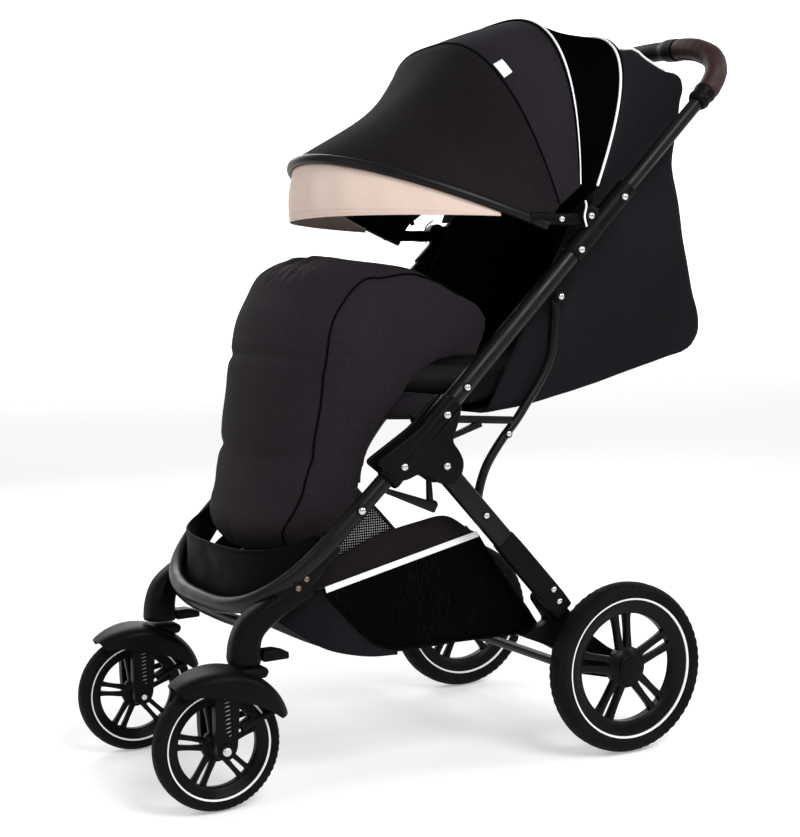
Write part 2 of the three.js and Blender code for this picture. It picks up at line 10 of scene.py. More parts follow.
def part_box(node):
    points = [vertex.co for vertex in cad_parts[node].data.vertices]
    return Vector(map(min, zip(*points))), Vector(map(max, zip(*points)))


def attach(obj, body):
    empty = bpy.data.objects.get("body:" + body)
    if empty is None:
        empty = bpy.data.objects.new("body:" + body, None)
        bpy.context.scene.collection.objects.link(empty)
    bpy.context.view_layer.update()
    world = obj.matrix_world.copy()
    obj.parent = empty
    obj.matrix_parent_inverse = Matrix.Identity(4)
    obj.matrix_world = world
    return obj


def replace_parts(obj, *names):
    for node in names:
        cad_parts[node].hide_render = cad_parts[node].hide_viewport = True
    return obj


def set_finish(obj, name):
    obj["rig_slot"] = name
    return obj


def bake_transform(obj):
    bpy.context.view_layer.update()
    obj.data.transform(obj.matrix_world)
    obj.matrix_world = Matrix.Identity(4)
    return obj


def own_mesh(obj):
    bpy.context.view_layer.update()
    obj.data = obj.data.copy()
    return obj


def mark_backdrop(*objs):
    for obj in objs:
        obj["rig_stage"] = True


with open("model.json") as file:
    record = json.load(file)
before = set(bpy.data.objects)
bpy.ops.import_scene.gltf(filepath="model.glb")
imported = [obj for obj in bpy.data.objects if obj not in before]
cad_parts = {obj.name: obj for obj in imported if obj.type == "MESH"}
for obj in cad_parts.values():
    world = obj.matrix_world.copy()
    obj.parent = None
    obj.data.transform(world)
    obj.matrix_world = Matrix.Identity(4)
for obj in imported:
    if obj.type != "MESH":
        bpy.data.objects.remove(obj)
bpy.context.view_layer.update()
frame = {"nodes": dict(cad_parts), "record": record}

# ---- places: millimetres from the rear axle, +Y to the back, +Z up, +X to the stroller's left ----
AXLE = sum(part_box("rear_axle"), Vector()) / 2
MM = 0.001
SIDES = (("left", 1), ("right", -1))

FRAME_X = 225.4
FOLD_PIVOT = (-277, 503)
LEG_PIVOT = (-280, 434)
HUB_PIVOT = (-33, 767)
SLOPE = math.radians(44.1)
TUBE_LENGTH = 437
COLLAR_START = 612
REAR_X = 244.3
REAR_R = 122.5
FRONT_X = 174
FRONT_R = 86.6
FRONT_AXLE_Y = -599
RIM_START = (-400, 388)
RIM_FRONT = (-550, 250)
CENTRE_HALF = 126


def on_tube(along, off=0):
    """The point (y, z) at a distance along the handle tube from the fold pivot, and off to its side."""
    c, s = math.cos(SLOPE), math.sin(SLOPE)
    return (FOLD_PIVOT[0] + c * along - s * off, FOLD_PIVOT[1] + s * along + c * off)


def in_tube(sign, along):
    """A place in the middle of the left or right handle tube."""
    return (sign * FRAME_X, *on_tube(along))


def row(x, y, z):
    """A place in millimetres from the rear axle, as a point of the frame in metres."""
    return Vector((x * MM, AXLE.y + y * MM, z * MM))


def power(value, n):
    return math.copysign(abs(value) ** (2 / n), value)


def mix(a, b, t):
    return a + (b - a) * t


def smooth(points, count):
    """A curve through the points, as count points at even distances."""
    p = np.array(points, float)
    p = np.vstack([2 * p[0] - p[1], p, 2 * p[-1] - p[-2]])
    fine = []
    for a, b, c, d in zip(p, p[1:], p[2:], p[3:]):
        for t in np.linspace(0, 1, 16, endpoint=False):
            fine.append(0.5 * (2 * b + (c - a) * t + (2 * a - 5 * b + 4 * c - d) * t**2
                               + (3 * b - a - 3 * c + d) * t**3))
    fine = np.array(fine + [p[-2]])
    along = np.concatenate([[0], np.cumsum(np.linalg.norm(np.diff(fine, axis=0), axis=1))])
    even = np.linspace(0, along[-1], count)
    return np.stack([np.interp(even, along, fine[:, k]) for k in range(p.shape[1])], axis=1)


# ---- materials ----
class Look:
    """A procedural material, built up node by node."""

    def __init__(self, name, **sockets):
        self.material = bpy.data.materials.new(name)
        self.material.use_nodes = True
        self.tree = self.material.node_tree
        self.shader = self.tree.nodes["Principled BSDF"]
        for key, value in sockets.items():
            self.shader.inputs[key.replace("_", " ")].default_value = value
        self.place = self.tree.nodes.new("ShaderNodeTexCoord").outputs["Object"]

    def node(self, kind, **inputs):
        made = self.tree.nodes.new(kind)
        for key, value in inputs.items():
            socket = made.inputs[int(key[1:])] if key[1:].isdigit() else made.inputs[key.replace("_", " ")]
            if isinstance(value, bpy.types.NodeSocket):
                self.tree.links.new(value, socket)
            else:
                socket.default_value = value
        return made

    def stretched(self, scale):
        return self.node("ShaderNodeMapping", Vector=self.place, Scale=scale).outputs[0]

    def noise(self, scale, detail=2.0, stretch=(1, 1, 1)):
        found = self.node("ShaderNodeTexNoise", Vector=self.stretched(stretch), Scale=scale, Detail=detail)
        return found.outputs[0]

    def cells(self, scale, stretch=(1, 1, 1)):
        return self.node("ShaderNodeTexVoronoi", Vector=self.stretched(stretch), Scale=scale).outputs[0]

    def threads(self, pitch, direction, distortion=0.6):
        """Ridges at a pitch in millimetres across one axis."""
        wave = self.node("ShaderNodeTexWave", Vector=self.place, Scale=math.pi / 10 / (pitch * MM))
        wave.bands_direction = direction
        wave.inputs["Distortion"].default_value = distortion
        return wave.outputs[1]

    def math(self, operation, a, b):
        made = self.node("ShaderNodeMath", _0=a, _1=b)
        made.operation = operation
        return made.outputs[0]

    def ramp(self, value, *stops):
        made = self.node("ShaderNodeValToRGB", _0=value)
        made.color_ramp.elements[0].position = stops[0][0]
        made.color_ramp.elements[0].color = stops[0][1]
        made.color_ramp.elements[1].position = stops[-1][0]
        made.color_ramp.elements[1].color = stops[-1][1]
        for place, colour in stops[1:-1]:
            made.color_ramp.elements.new(place).color = colour
        return made.outputs[0]

    def between(self, value, low, high, at=(0.3, 0.7)):
        """A value that runs from low to high as the given one runs between the two places."""
        made = self.node("ShaderNodeMapRange", _0=value, _1=at[0], _2=at[1], _3=low, _4=high)
        return made.outputs[0]

    def colour(self, value):
        self.tree.links.new(value, self.shader.inputs["Base Color"])
        return self

    def rough(self, value):
        self.tree.links.new(value, self.shader.inputs["Roughness"])
        return self

    def bump(self, height, strength, depth_mm):
        made = self.node("ShaderNodeBump", Strength=strength, Distance=depth_mm * MM, Height=height)
        self.tree.links.new(made.outputs[0], self.shader.inputs["Normal"])
        return self


def rgb(r, g, b):
    return (r, g, b, 1.0)


def tint(colour, by):
    return rgb(*(min(1.0, c * by) for c in colour))


def woven(name, colour, pitch=1.5, contrast=0.45, sheen=0.03, sheen_tint=(0.75, 0.70, 0.85), depth=0.35,
          gloss=0.04):
    """Melange cloth: speckled threads in two directions, a broad unevenness and a soft sheen."""
    look = Look(name, Sheen_Weight=sheen, Sheen_Roughness=0.45, Sheen_Tint=rgb(*sheen_tint),
                Specular_IOR_Level=gloss)
    weft = look.noise(420, 2, (1, 1, 5))
    warp = look.noise(420, 2, (4, 4, 0.8))
    speckle = look.math("ADD", look.math("MULTIPLY", weft, 0.5), look.math("MULTIPLY", warp, 0.5))
    broad = look.between(look.noise(5, 3), -0.05, 0.05)
    tone = look.math("ADD", speckle, broad)
    look.colour(look.ramp(tone, (0.36, tint(colour, 1 - contrast)), (0.5, tint(colour, 1.0)),
                          (0.66, tint(colour, 1 + 1.7 * contrast))))
    look.rough(look.between(speckle, 0.82, 0.97))
    weave = look.math("MULTIPLY", look.threads(pitch, "Z"), look.threads(pitch, "Y"))
    creases = look.math("MULTIPLY", look.noise(26, 3), 1.4)
    return look.bump(look.math("ADD", look.math("ADD", weave, speckle), creases), 0.55, depth)


def satin_paint(name, colour, roughness=0.34):
    look = Look(name, Specular_IOR_Level=0.17)
    dust = look.noise(35, 5)
    grain = look.noise(900, 2)
    look.colour(look.ramp(dust, (0.35, tint(colour, 0.85)), (0.7, tint(colour, 1.3))))
    look.rough(look.between(dust, roughness - 0.05, roughness + 0.09))
    return look.bump(grain, 0.08, 0.1)


def moulded(name, colour, roughness=0.5, grain_depth=0.12, gloss=0.11):
    look = Look(name, Specular_IOR_Level=gloss)
    worn = look.noise(18, 5)
    grain = look.cells(750)
    look.colour(look.ramp(worn, (0.35, tint(colour, 0.8)), (0.7, tint(colour, 1.35))))
    look.rough(look.between(worn, roughness - 0.06, roughness + 0.08))
    return look.bump(grain, 0.22, grain_depth)


def rubber(name, colour):
    look = Look(name, Specular_IOR_Level=0.06)
    dust = look.noise(40, 6)
    look.colour(look.ramp(dust, (0.4, tint(colour, 0.8)), (0.75, tint(colour, 1.8))))
    look.rough(look.between(dust, 0.62, 0.85))
    return look.bump(look.noise(600, 3), 0.25, 0.2)


def metal(name, colour, roughness=0.18):
    look = Look(name, Metallic=1.0)
    scratch = look.noise(240, 3, (1, 6, 1))
    look.colour(look.ramp(scratch, (0.3, tint(colour, 0.85)), (0.7, tint(colour, 1.05))))
    look.rough(look.between(scratch, roughness * 0.7, roughness * 1.5))
    return look.bump(scratch, 0.06, 0.05)


def hide(name, colour, roughness=0.45, depth=0.35, scale=420, gloss=0.3):
    """Leather or leatherette: a pebbled grain with worn high spots."""
    look = Look(name, Specular_IOR_Level=gloss)
    pebble = look.cells(scale)
    tone = look.noise(30, 4)
    worn = look.math("ADD", look.math("MULTIPLY", pebble, 0.4), look.math("MULTIPLY", tone, 0.6))
    look.colour(look.ramp(worn, (0.25, tint(colour, 0.65)), (0.6, tint(colour, 1.35))))
    look.rough(look.between(tone, roughness - 0.08, roughness + 0.1))
    return look.bump(look.math("ADD", pebble, look.noise(90, 3)), 0.5, depth)


def dotted_net(name, colour, pitch, pale):
    """Knitted mesh: pale dots between crossing black threads, in the Y-Z plane; the pale dots are painted
    light, standing for the bright backdrop seen through the holes.
    """
    look = Look(name, Specular_IOR_Level=0.02)
    cell = look.math("MULTIPLY", look.threads(pitch, "Y", 0), look.threads(pitch, "Z", 0))
    # the pale dots are painted light: the bright backdrop seen through the holes
    look.colour(look.ramp(cell, (0.42, tint(colour, 1)), (0.62, tint(pale, 1))))
    look.rough(look.between(look.noise(60), 0.7, 0.9))
    return look.bump(cell, 0.5, 0.3)


def close_net(name, colour, pitch):
    """A dense double net: fine upright ribs with a painted highlight where they catch the light, over soft
    folds painted in as shade.
    """
    look = Look(name, Specular_IOR_Level=0.03)
    ribs = look.threads(pitch, "Y", 0)
    folds = look.noise(9, 2, (1, 2.2, 0.5))
    # painted highlight on the ribs, dimmed by painted shade in the folds
    tone = look.math("MULTIPLY", look.math("MULTIPLY", ribs, folds), look.noise(300, 2, (1, 1, 0.3)))
    look.colour(look.ramp(tone, (0.1, tint(colour, 0.4)), (0.25, tint(colour, 1)), (0.45, tint(colour, 9))))
    look.rough(look.between(folds, 0.75, 0.92))
    return look.bump(look.math("ADD", ribs, look.threads(pitch, "Z")), 0.5, 0.4)


BLACK = (0.0042, 0.0042, 0.0046)
CHARCOAL = (0.0140, 0.0118, 0.0148)
LOOKS = {
    "frame_tube": satin_paint("satin_black_tube", (0.0028, 0.0028, 0.0032)),
    "black_plastic": moulded("black_moulding", BLACK, gloss=0.06),
    "fine_plastic": moulded("smooth_moulding", (0.0022, 0.0022, 0.0025), 0.42, 0.05, 0.07),
    "tyre": rubber("tyre_rubber", (0.0048, 0.0046, 0.0051)),
    "wheel_rim": moulded("rim_moulding", (0.0020, 0.0020, 0.0022), 0.38, 0.05, 0.10),
    "steel": metal("zinc_steel", (0.62, 0.61, 0.60)),
    "bronze": metal("bronze_rivet", (0.20, 0.15, 0.12), 0.3),
    "dull_steel": metal("dull_spring_steel", (0.16, 0.16, 0.16), 0.4),
    "grip_leather": hide("brown_leather", (0.019, 0.0042, 0.0035), 0.5),
    "charcoal_fabric": woven("charcoal_melange", CHARCOAL),
    # a darker copy of the charcoal cloth: painted shade on the back cover and the basket
    "painted_shade_cover_fabric": woven("painted_shade_cover_melange", (0.0085, 0.0072, 0.0092)),
    # a darker copy of the charcoal cloth: painted shade on the canopy's front panel and the basket flaps
    "painted_shade_hood_fabric": woven("painted_shade_hood_melange", (0.0108, 0.0088, 0.0108)),
    "muff_fabric": woven("muff_melange", (0.0160, 0.0128, 0.0160), contrast=0.4),
    "cream_fabric": woven("cream_cotton", (0.66, 0.525, 0.455), contrast=0.05, sheen=0.08,
                          sheen_tint=(1, 0.95, 0.9), depth=0.25),
    "black_mesh": woven("black_knit", (0.0010, 0.0010, 0.0011), pitch=2.4, contrast=0.5, sheen=0.0,
                        depth=0.5, gloss=0.0),
    "basket_mesh": close_net("basket_netting", (0.0009, 0.0009, 0.0010), 3.4),
    "dot_mesh": dotted_net("dotted_netting", (0.0015, 0.0015, 0.0016), 3.4, (0.45, 0.45, 0.45)),
    "band_leatherette": hide("black_leatherette", (0.0026, 0.0024, 0.0025), 0.55, 0.2, 600, 0.02),
    "piping": woven("white_piping_cloth", (0.84, 0.84, 0.85), contrast=0.04, sheen=0.1, depth=0.15),
    "black_piping": woven("black_piping_cloth", (0.0018, 0.0018, 0.0020), contrast=0.2, sheen=0.0,
                          depth=0.15, gloss=0.02),
    "thread": woven("black_thread", (0.004, 0.004, 0.0045), contrast=0.2, sheen=0.0, depth=0.1),
}
# Looks that share a slot of the record with another look.
SLOTS = {
    "painted_shade_cover_fabric": "charcoal_fabric", "painted_shade_hood_fabric": "charcoal_fabric", "black_piping": "charcoal_fabric",
    "thread": "charcoal_fabric", "fine_plastic": "black_plastic", "bronze": "steel", "dull_steel": "steel",
    "basket_mesh": "black_mesh", "dot_mesh": "black_mesh",
}


# ---- making pieces ----
def piece(name, points, faces, look, smooth_under=40):
    """A mesh from points in millimetres, shaded smooth except over sharp edges."""
    mesh = bpy.data.meshes.new(name)
    mesh.from_pydata([row(*p) for p in points], [], faces)
    made = bpy.data.objects.new(name, mesh)
    bpy.context.collection.objects.link(made)
    tidy = bmesh.new()
    tidy.from_mesh(mesh)
    bmesh.ops.remove_doubles(tidy, verts=tidy.verts, dist=0.00002)
    bmesh.ops.recalc_face_normals(tidy, faces=tidy.faces)
    tidy.to_mesh(mesh)
    tidy.free()
    finish_mesh(made, look, smooth_under)
    return made


def finish_mesh(made, look, smooth_under=40):
    made.data.materials.clear()
    made.data.materials.append(LOOKS[look].material)
    made.data.shade_smooth()
    made.data.set_sharp_from_angle(angle=math.radians(smooth_under))
    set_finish(made, SLOTS.get(look, look))


def joined(name, parts):
    """Several meshes as one piece that keeps their materials."""
    whole = bmesh.new()
    materials = []
    for part in parts:
        for material in part.data.materials:
            if material not in materials:
                materials.append(material)
        index = [materials.index(m) for m in part.data.materials]
        start = len(whole.faces)
        whole.from_mesh(part.data)
        whole.faces.ensure_lookup_table()
        for face in whole.faces[start:]:
            face.material_index = index[face.material_index]
    mesh = bpy.data.meshes.new(name)
    whole.to_mesh(mesh)
    whole.free()
    for material in materials:
        mesh.materials.append(material)
    made = bpy.data.objects.new(name, mesh)
    bpy.context.collection.objects.link(made)
    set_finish(made, parts[0].get("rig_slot"))
    for part in parts:
        bpy.data.objects.remove(part)
    return made


def applied(made):
    """Bakes a piece's modifiers into its mesh."""
    bpy.context.view_layer.update()
    graph = bpy.context.evaluated_depsgraph_get()
    mesh = bpy.data.meshes.new_from_object(made.evaluated_get(graph))
    made.modifiers.clear()
    made.data = mesh
    return made


def grid_faces(rows, columns, start=0, wrap=False):
    """Quads over rows of points; wrap joins the last column to the first."""
    faces = []
    for i in range(rows - 1):
        for j in range(columns if wrap else columns - 1):
            k = (j + 1) % columns
            faces.append([start + i * columns + j, start + i * columns + k,
                          start + (i + 1) * columns + k, start + (i + 1) * columns + j])
    return faces


def sheet(name, point, rows, columns, look, thickness=1.6):
    """A thin cloth from point(u, v); returns the piece and its size laid flat."""
    points = np.array([[point(i / (rows - 1), j / (columns - 1)) for j in range(columns)]
                       for i in range(rows)])
    long = np.linalg.norm(np.diff(points, axis=0), axis=2).sum(axis=0).max()
    wide = np.linalg.norm(np.diff(points, axis=1), axis=2).sum(axis=1).max()
    made = piece(name, points.reshape(-1, 3).tolist(), grid_faces(rows, columns), look, 60)
    area = sum(face.area for face in made.data.polygons)
    solid = made.modifiers.new("thickness", "SOLIDIFY")
    solid.thickness = thickness * MM
    solid.offset = 0
    return applied(made), ((round(wide * MM, 3), round(long * MM, 3)), area)


def declare(made, size):
    """Works out a bounded area for a sheet of cloth from its size laid flat, and keeps nothing."""
    flat, area = size
    whole = flat[0] * flat[1]
    min(whole, max(area, 0.3 * whole))


def frames_along(path, start=(1, 0, 0)):
    """Two directions square to a path at each of its points, that don't twist."""
    tangent = np.gradient(path, axis=0)
    tangent /= np.linalg.norm(tangent, axis=1)[:, None]
    side = np.array(start, float)
    sides = []
    for t in tangent:
        side = side - t * side.dot(t)
        side /= np.linalg.norm(side)
        sides.append(side)
    sides = np.array(sides)
    return sides, np.cross(tangent, sides)


def ring(n=24, squareness=2):
    turn = np.linspace(0, 2 * math.pi, n, endpoint=False)
    return [(power(math.cos(a), squareness), power(math.sin(a), squareness)) for a in turn]


def sweep(name, path, radius, look, sides=24, squareness=2, start=(1, 0, 0), hollow=None, smooth_under=40):
    """A bar along a path. radius is one number, a pair (across, up), or a list of either."""
    path = np.array(path, float)
    n = len(path)
    size = np.array(radius, float)
    if size.ndim == 0:
        size = np.full((n, 2), float(size))
    elif size.ndim == 1 and len(size) == 2 and n != 2:
        size = np.tile(size, (n, 1))
    elif size.ndim == 1:
        size = np.stack([size, size], axis=1)
    across, up = frames_along(path, start)
    outline = ring(sides, squareness)
    points = [path[i] + across[i] * a * size[i, 0] + up[i] * b * size[i, 1]
              for i in range(n) for a, b in outline]
    faces = grid_faces(n, sides, wrap=True)
    if hollow is None:
        faces += [list(range(sides)), list(range((n - 1) * sides, n * sides))]
    else:
        inner = len(points)
        points += [path[i] + across[i] * a * hollow + up[i] * b * hollow
                   for i in range(n) for a, b in outline]
        faces += grid_faces(n, sides, start=inner, wrap=True)
        for base in (0, (n - 1) * sides):
            for j in range(sides):
                k = (j + 1) % sides
                faces.append([base + j, base + k, inner + base + k, inner + base + j])
    return piece(name, points, faces, look, smooth_under)


def straight(a, b, count=2):
    return np.linspace(np.array(a, float), np.array(b, float), count)


def turned(name, profile, place, look, segments=72, axis=(1, 0, 0), bumps=None, smooth_under=40):
    """A closed profile of (radius, along) turned about an axis through a place."""
    axis = Vector(axis).normalized()
    side = axis.orthogonal().normalized()
    other = axis.cross(side)
    points = []
    for i in range(segments):
        turn = 2 * math.pi * i / segments
        out = side * math.cos(turn) + other * math.sin(turn)
        for j, (radius, along) in enumerate(profile):
            r = radius + (bumps(i, j) if bumps else 0)
            points.append(Vector(place) + axis * along + out * r)
    n = len(profile)
    faces = []
    for i in range(segments):
        k = (i + 1) % segments
        for j in range(n):
            m = (j + 1) % n
            faces.append([i * n + j, i * n + m, k * n + m, k * n + j])
    return piece(name, points, faces, look, smooth_under)


def slab(name, outline, x, thickness, look, bevel=1.5, steps=3):
    """A plate with its outline in (y, z), its middle at x, and rounded edges."""
    n = len(outline)
    points = [(x + side * thickness / 2, y, z) for side in (-1, 1) for y, z in outline]
    faces = [list(range(n)), list(range(n, 2 * n))]
    faces += [[j, (j + 1) % n, n + (j + 1) % n, n + j] for j in range(n)]
    made = piece(name, points, faces, look, 30)
    edge = made.modifiers.new("edge", "BEVEL")
    edge.width = bevel * MM
    edge.segments = steps
    edge.limit_method = "ANGLE"
    edge.angle_limit = math.radians(28)
    edge.harden_normals = False
    applied(made)
    finish_mesh(made, look, 50)
    return made


def rounded(outline, radius, steps=5):
    """An outline with its corners turned into arcs."""
    out = []
    n = len(outline)
    for i in range(n):
        before, here, after = (Vector(outline[(i + k) % n]) for k in (-1, 0, 1))
        reach = min(radius, (before - here).length * 0.45, (after - here).length * 0.45)
        a = here + (before - here).normalized() * reach
        b = here + (after - here).normalized() * reach
        for t in np.linspace(0, 1, steps):
            out.append(tuple(a * (1 - t) ** 2 + here * 2 * t * (1 - t) + b * t**2))
    return out


def bolt(place, side, r=5.2, look="steel"):
    """A domed bolt head on a dark washer, facing along X."""
    washer = [(0, -1), (r * 1.45, -1), (r * 1.45, 0.4), (r * 1.25, 1.0), (0, 1.0)]
    dome = [(0, 0.5)]
    dome += [(r * math.cos(a), 1 + r * 0.62 * math.sin(a)) for a in np.linspace(0, math.pi / 2, 6)]
    parts = []
    for profile, used, n in ((washer, "black_plastic", 20), (dome, look, 20)):
        flipped = [(radius, along * side) for radius, along in profile]
        parts.append(turned("part", flipped, place, used, n))
    return parts


def bolts(name, places, side, body, r=5.2, look="steel"):
    """Bolt heads at places (x, y, z) on the left side, mirrored by side."""
    parts = [part for x, y, z in places for part in bolt((side * x, y, z), side if x > 0 else -side, r, look)]
    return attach(joined(name, parts), body)


# ---- camera and light ----
def make_camera():
    """The reference view: from the stroller's front left at a low height."""
    turn, tilt, roll = 1.104, 0.0758, -0.0359
    back = Vector((math.sin(turn) * math.cos(tilt), -math.cos(turn) * math.cos(tilt), math.sin(tilt)))
    right = Vector((math.cos(turn), math.sin(turn), 0))
    up = back.cross(right)
    right, up = (right * math.cos(roll) + up * math.sin(roll), up * math.cos(roll) - right * math.sin(roll))
    data = bpy.data.cameras.new("reference_camera")
    data.sensor_width = 36
    data.lens = 68.85
    data.shift_y = 0.004
    data.dof.use_dof = False
    data.clip_end = 100
    made = bpy.data.objects.new("reference_camera", data)
    place = row(2129.2, -1298, 658.7)
    made.matrix_world = Matrix((
        (right.x, up.x, back.x, place.x), (right.y, up.y, back.y, place.y),
        (right.z, up.z, back.z, place.z), (0, 0, 0, 1)))
    bpy.context.collection.objects.link(made)
    bpy.context.scene.camera = made


def glowing(name, strength, colour=(1, 1, 1)):
    look = Look(name, Emission_Strength=strength, Emission_Color=rgb(*colour))
    look.colour(look.ramp(look.noise(0.4, 1), (0.3, rgb(0.8, 0.8, 0.8)), (0.7, rgb(0.84, 0.84, 0.84))))
    look.rough(look.between(look.noise(8), 0.85, 0.95))
    return look.material


def stage_sheet(name, corners, material):
    mesh = bpy.data.meshes.new(name)
    mesh.from_pydata(corners, [], [(0, 1, 2, 3)])
    mesh.materials.append(material)
    made = bpy.data.objects.new(name, mesh)
    bpy.context.collection.objects.link(made)
    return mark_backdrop(made)


def make_studio():
    """A pale floor, a white backdrop behind the reference view and four soft lamps."""
    world = bpy.data.worlds.new("studio")
    bpy.context.scene.world = world
    world.use_nodes = True
    world.node_tree.nodes["Background"].inputs[0].default_value = rgb(1, 1, 1)
    world.node_tree.nodes["Background"].inputs[1].default_value = 0.46
    half, low = 30, -0.0005
    stage_sheet("floor", [(-half, -half, low), (half, -half, low), (half, half, low), (-half, half, low)],
                glowing("pale_floor", 0.33))
    away = Vector((-0.8930, 0.4500, 0))
    along = Vector((0.4500, 0.8930, 0))
    foot = away * 14
    tall = Vector((0, 0, 12))
    stage_sheet("backdrop", [foot - along * 16, foot + along * 16, foot + along * 16 + tall,
                             foot - along * 16 + tall], glowing("white_backdrop", 0.9))
    target = row(0, -150, 520)
    lamps = (("key", (2.6, 0.1, 2.6), 1.3, 66), ("front", (0.6, -3.2, 2.2), 1.5, 16),
             ("back", (1.4, 2.8, 2.2), 1.4, 30), ("far", (-2.8, 0.2, 2.4), 1.6, 30))
    for name, place, size, watts in lamps:
        data = bpy.data.lights.new(name, "AREA")
        data.energy = watts
        data.size = size
        made = bpy.data.objects.new(name, data)
        made.location = place
        made.rotation_euler = (target - Vector(place)).to_track_quat("-Z", "Y").to_euler()
        bpy.context.collection.objects.link(made)
    bpy.context.scene.view_settings.view_transform = "Standard"


# ---- metal frame ----
def rim_point(angle, r=0.0):
    """A place on the rounded footrest loop; r moves it inwards."""
    lift = power(math.sin(angle), 3)
    return (power(math.cos(angle), 3) * (FRAME_X - r), mix(RIM_START[0], RIM_FRONT[0], lift) + r * lift,
            mix(RIM_START[1], RIM_FRONT[1], lift))


def make_frame():
    loop = [(FRAME_X, -334, 448), (FRAME_X, -366, 419)]
    loop += [rim_point(a) for a in np.linspace(0, math.pi, 25)]
    loop += [(-FRAME_X, -366, 419), (-FRAME_X, -334, 448)]
    made = sweep("footrest_loop", smooth(loop, 120), 11.7, "frame_tube")
    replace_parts(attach(made, "front_frame"), "front_frame_tube")
    for side, sign in SIDES:
        tube_path = straight(in_tube(sign, 8), in_tube(sign, TUBE_LENGTH - 3))
        tube = sweep(f"{side}_upper_tube_skin", tube_path, 13, "frame_tube", 28, hollow=10.9)
        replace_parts(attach(tube, "handle_frame"), f"{side}_upper_tube")
        make_sleeve(side, sign)
        make_hub(side, sign)
        make_rear_leg(side, sign)
        make_strut(side, sign)
        inner_path = straight(in_tube(sign, 362), in_tube(sign, COLLAR_START + 4))
        inner = sweep(f"{side}_inner_tube", inner_path, 10.3, "frame_tube", 24)
        collar_path = straight(in_tube(sign, COLLAR_START), in_tube(sign, COLLAR_START + 26), 9)
        widths = [13.2, 15.0, 16, 16, 15.2, 15.2, 16.6, 16.8, 16.2]
        collar = sweep(f"{side}_collar", collar_path, widths, "fine_plastic", 28)
        fitted = joined(f"{side}_handle_tube_skin", [inner, collar])
        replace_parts(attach(fitted, "handle"), f"{side}_handle_tube")
        rail = straight((sign * 206.8, -312, 499), (sign * 206.8, -154, 486), 12)
        bar = sweep(f"{side}_seat_rail", rail, (3.4, 5.4), "frame_tube", 14, 3)
        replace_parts(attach(bar, "front_frame"), f"{side}_seat_bar")


def make_sleeve(side, sign):
    """The plastic sleeve, the canopy's hub on it and the lug that holds the strut."""
    stations = np.array([300, 301.5, 303, 352, 354, 356, 400, 430, 433, 436, 437])
    widths = [14.2, 15.6, 16.2, 15.9, 15.2, 15.2, 15.2, 15.0, 15.6, 15.6, 14.4]
    body = sweep("body", [in_tube(sign, s) for s in stations], widths, "fine_plastic", 32, hollow=13.2)
    lug = slab("lug", rounded([on_tube(314, 8), on_tube(262, -16), on_tube(240, -32), on_tube(252, -46),
                               on_tube(268, -42), on_tube(334, -12)], 9),
               sign * (FRAME_X - 16), 6, "fine_plastic")
    boss = slab("boss", rounded([on_tube(338, 10), (HUB_PIVOT[0] - 12, HUB_PIVOT[1] - 6),
                                 (HUB_PIVOT[0] + 4, HUB_PIVOT[1] + 12), on_tube(384, 10)], 8),
                sign * FRAME_X, 13, "fine_plastic", 2.5)
    disc = [(0, -9), (13, -9), (15, -7), (15, 8), (14, 11), (11.5, 12.5), (8, 12.6), (7.5, 11.6), (0, 11.6)]
    knob = turned("knob", [(r, sign * a) for r, a in disc], (sign * FRAME_X, *HUB_PIVOT), "fine_plastic", 40)
    made = joined(f"{side}_sleeve_skin", [body, lug, boss, knob])
    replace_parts(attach(made, "handle_frame"), f"{side}_upper_sleeve")
    upper, lower = on_tube(417), on_tube(312)
    bolts(f"{side}_sleeve_bolts", [(FRAME_X + 14.6, *upper), (FRAME_X + 15.2, *lower),
                                   (FRAME_X + 11.8, *HUB_PIVOT), (FRAME_X - 12, *on_tube(254, -33))],
          sign, "handle_frame")


HUB_OUTLINE = [
    (-318, 488), (-272, 532), (-258, 522), (-254, 506), (-262, 484), (-270, 467), (-258, 452),
    (-252, 436), (-257, 418), (-272, 408), (-290, 410), (-304, 421), (-322, 427), (-338, 420),
    (-354, 419), (-386, 446),
]


